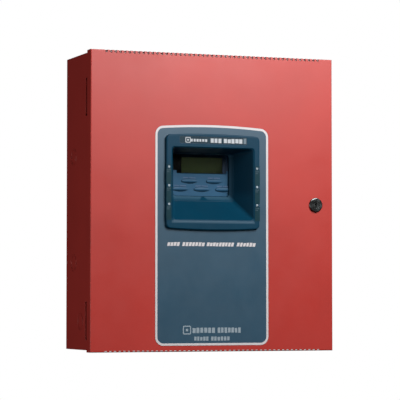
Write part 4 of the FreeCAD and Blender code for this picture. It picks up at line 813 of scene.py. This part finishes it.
def mains_label():
    """A yellow strip with dark greeked print on the cabinet's back, by the mains terminals."""
    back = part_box("backbox")[1].y - SHEET
    block_low, block_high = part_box("mains_terminal_block")
    x0, x1 = (block_high.x / MM + x for x in (-3.3, 66.7))
    z0, z1 = (block_low.z / MM + z for z in (-5.0, 11.0))
    strip = card(x0, x1, z0, z1, 1.0)
    printed("mains_label", [strip], back, "cabinet", warn_ink)
    lines = text_block(x0 + 4, x1 - 4, z1 - 3, 3, 4.2, 2.2, 500)
    printed("mains_label_print", lines, back - INK, "cabinet", label_ink)


overlay_border()
overlay_print()
nameplate_print()
indicator_strips()
window_border()
display_mask()
key_labels()
board_legends()
battery_labels()
door_chart()
mains_label()

# ---------------------------------------------------------------- camera, lights and stage
CAMERA_YAW = 21.096  # degrees round to the object's left
CAMERA_ELEVATION = -2.676
CAMERA_DISTANCE = 3.4414
CAMERA_LENS = 184.955
CAMERA_FROM = Vector((0, -70 * MM, 0))  # the distance is measured from here
CAMERA_AIM = Vector((0.7 * MM, -70 * MM, 7.1 * MM))
LIGHT_AIM = Vector((0, -100 * MM, 0))
AMBIENT = 0.022
FLOOR_Z = -0.90
FLOOR_RADIUS = 6.0
FLOOR_RINGS = 12
FLOOR_SIDES = 64
FLOOR_GLOW = 0.72


def direction(yaw, elevation):
    """Unit vector from the object towards a place in front of it; yaw is to the left."""
    a, e = math.radians(yaw), math.radians(elevation)
    return Vector((-math.sin(a) * math.cos(e), -math.cos(a) * math.cos(e), math.sin(e)))


def look_at(seen, target):
    """Turns a camera or a light towards a place."""
    seen.rotation_euler = (target - seen.location).to_track_quat("-Z", "Y").to_euler()


def camera():
    """The camera at the photograph's viewing angle."""
    data = bpy.data.cameras.new("camera")
    data.sensor_width = 36.0
    data.lens = CAMERA_LENS
    data.clip_start = 0.05
    data.clip_end = 100.0
    seen = bpy.data.objects.new("camera", data)
    bpy.context.scene.collection.objects.link(seen)
    seen.location = CAMERA_FROM + direction(CAMERA_YAW, CAMERA_ELEVATION) * CAMERA_DISTANCE
    look_at(seen, CAMERA_AIM)
    bpy.context.scene.camera = seen


def softbox(name, yaw, elevation, distance, size, power):
    """A square soft light that looks at the middle of the object; yaw is to the object's left."""
    data = bpy.data.lights.new(name, "AREA")
    data.shape = "SQUARE"
    data.size = size
    data.energy = power
    light = bpy.data.objects.new(name, data)
    bpy.context.scene.collection.objects.link(light)
    light.location = LIGHT_AIM + direction(yaw, elevation) * distance
    look_at(light, LIGHT_AIM)


def studio_floor():
    """A pale round floor well below the wall-hung object, in rings that widen outward."""
    mesh = bmesh.new()
    centre = mesh.verts.new((0, 0, FLOOR_Z))
    previous = None
    for ring_number in range(1, FLOOR_RINGS + 1):
        radius = FLOOR_RADIUS * (ring_number / FLOOR_RINGS) ** 1.5
        turns = [t * math.tau / FLOOR_SIDES for t in range(FLOOR_SIDES)]
        loop = [mesh.verts.new((radius * math.cos(t), radius * math.sin(t), FLOOR_Z))
                for t in turns]
        for i in range(FLOOR_SIDES):
            j = (i + 1) % FLOOR_SIDES
            if previous:
                mesh.faces.new((previous[i], loop[i], loop[j], previous[j]))
            else:
                mesh.faces.new((centre, loop[i], loop[j]))
        previous = loop
    data = bpy.data.meshes.new("studio_floor")
    mesh.to_mesh(data)
    mesh.free()
    data.materials.append(surface("studio_floor", (0.82, 0.82, 0.82), 0.7, mottle=0.01,
                                  mottle_scale=1.0, Emission_Color=(1.0, 1.0, 1.0, 1.0),
                                  Emission_Strength=FLOOR_GLOW))
    floor = bpy.data.objects.new("studio_floor", data)
    bpy.context.scene.collection.objects.link(floor)
    floor.visible_diffuse = False  # a backdrop: it puts no colour on the object
    floor.visible_glossy = False


def world():
    """White to the camera, and a dim cool light on the object."""
    sky = bpy.data.worlds.new("studio")
    bpy.context.scene.world = sky
    sky.use_nodes = True
    tree = sky.node_tree
    tree.nodes.clear()
    seen = add(tree, "Background", {}, {"Color": (1, 1, 1, 1), "Strength": 1.0})
    lit = add(tree, "Background", {}, {"Color": (0.9, 0.95, 1.0, 1), "Strength": AMBIENT})
    path = add(tree, "LightPath")
    mix = add(tree, "MixShader")
    put(tree, mix.inputs[0], path.outputs["Is Camera Ray"])
    put(tree, mix.inputs[1], lit.outputs[0])
    put(tree, mix.inputs[2], seen.outputs[0])
    sky_output = add(tree, "OutputWorld")
    tree.links.new(mix.outputs[0], sky_output.inputs[0])


camera()
softbox("key_softbox", -21, 35, 1.5, 0.8, 24.0)
softbox("low_softbox", -21, 25, 1.5, 0.5, 3.5)
softbox("side_softbox", 70, -8, 1.5, 0.8, 5.2)
softbox("rear_softbox", -155, 25, 2.0, 1.2, 26.0)
studio_floor()
world()
bpy.context.scene.view_settings.view_transform = "Standard"
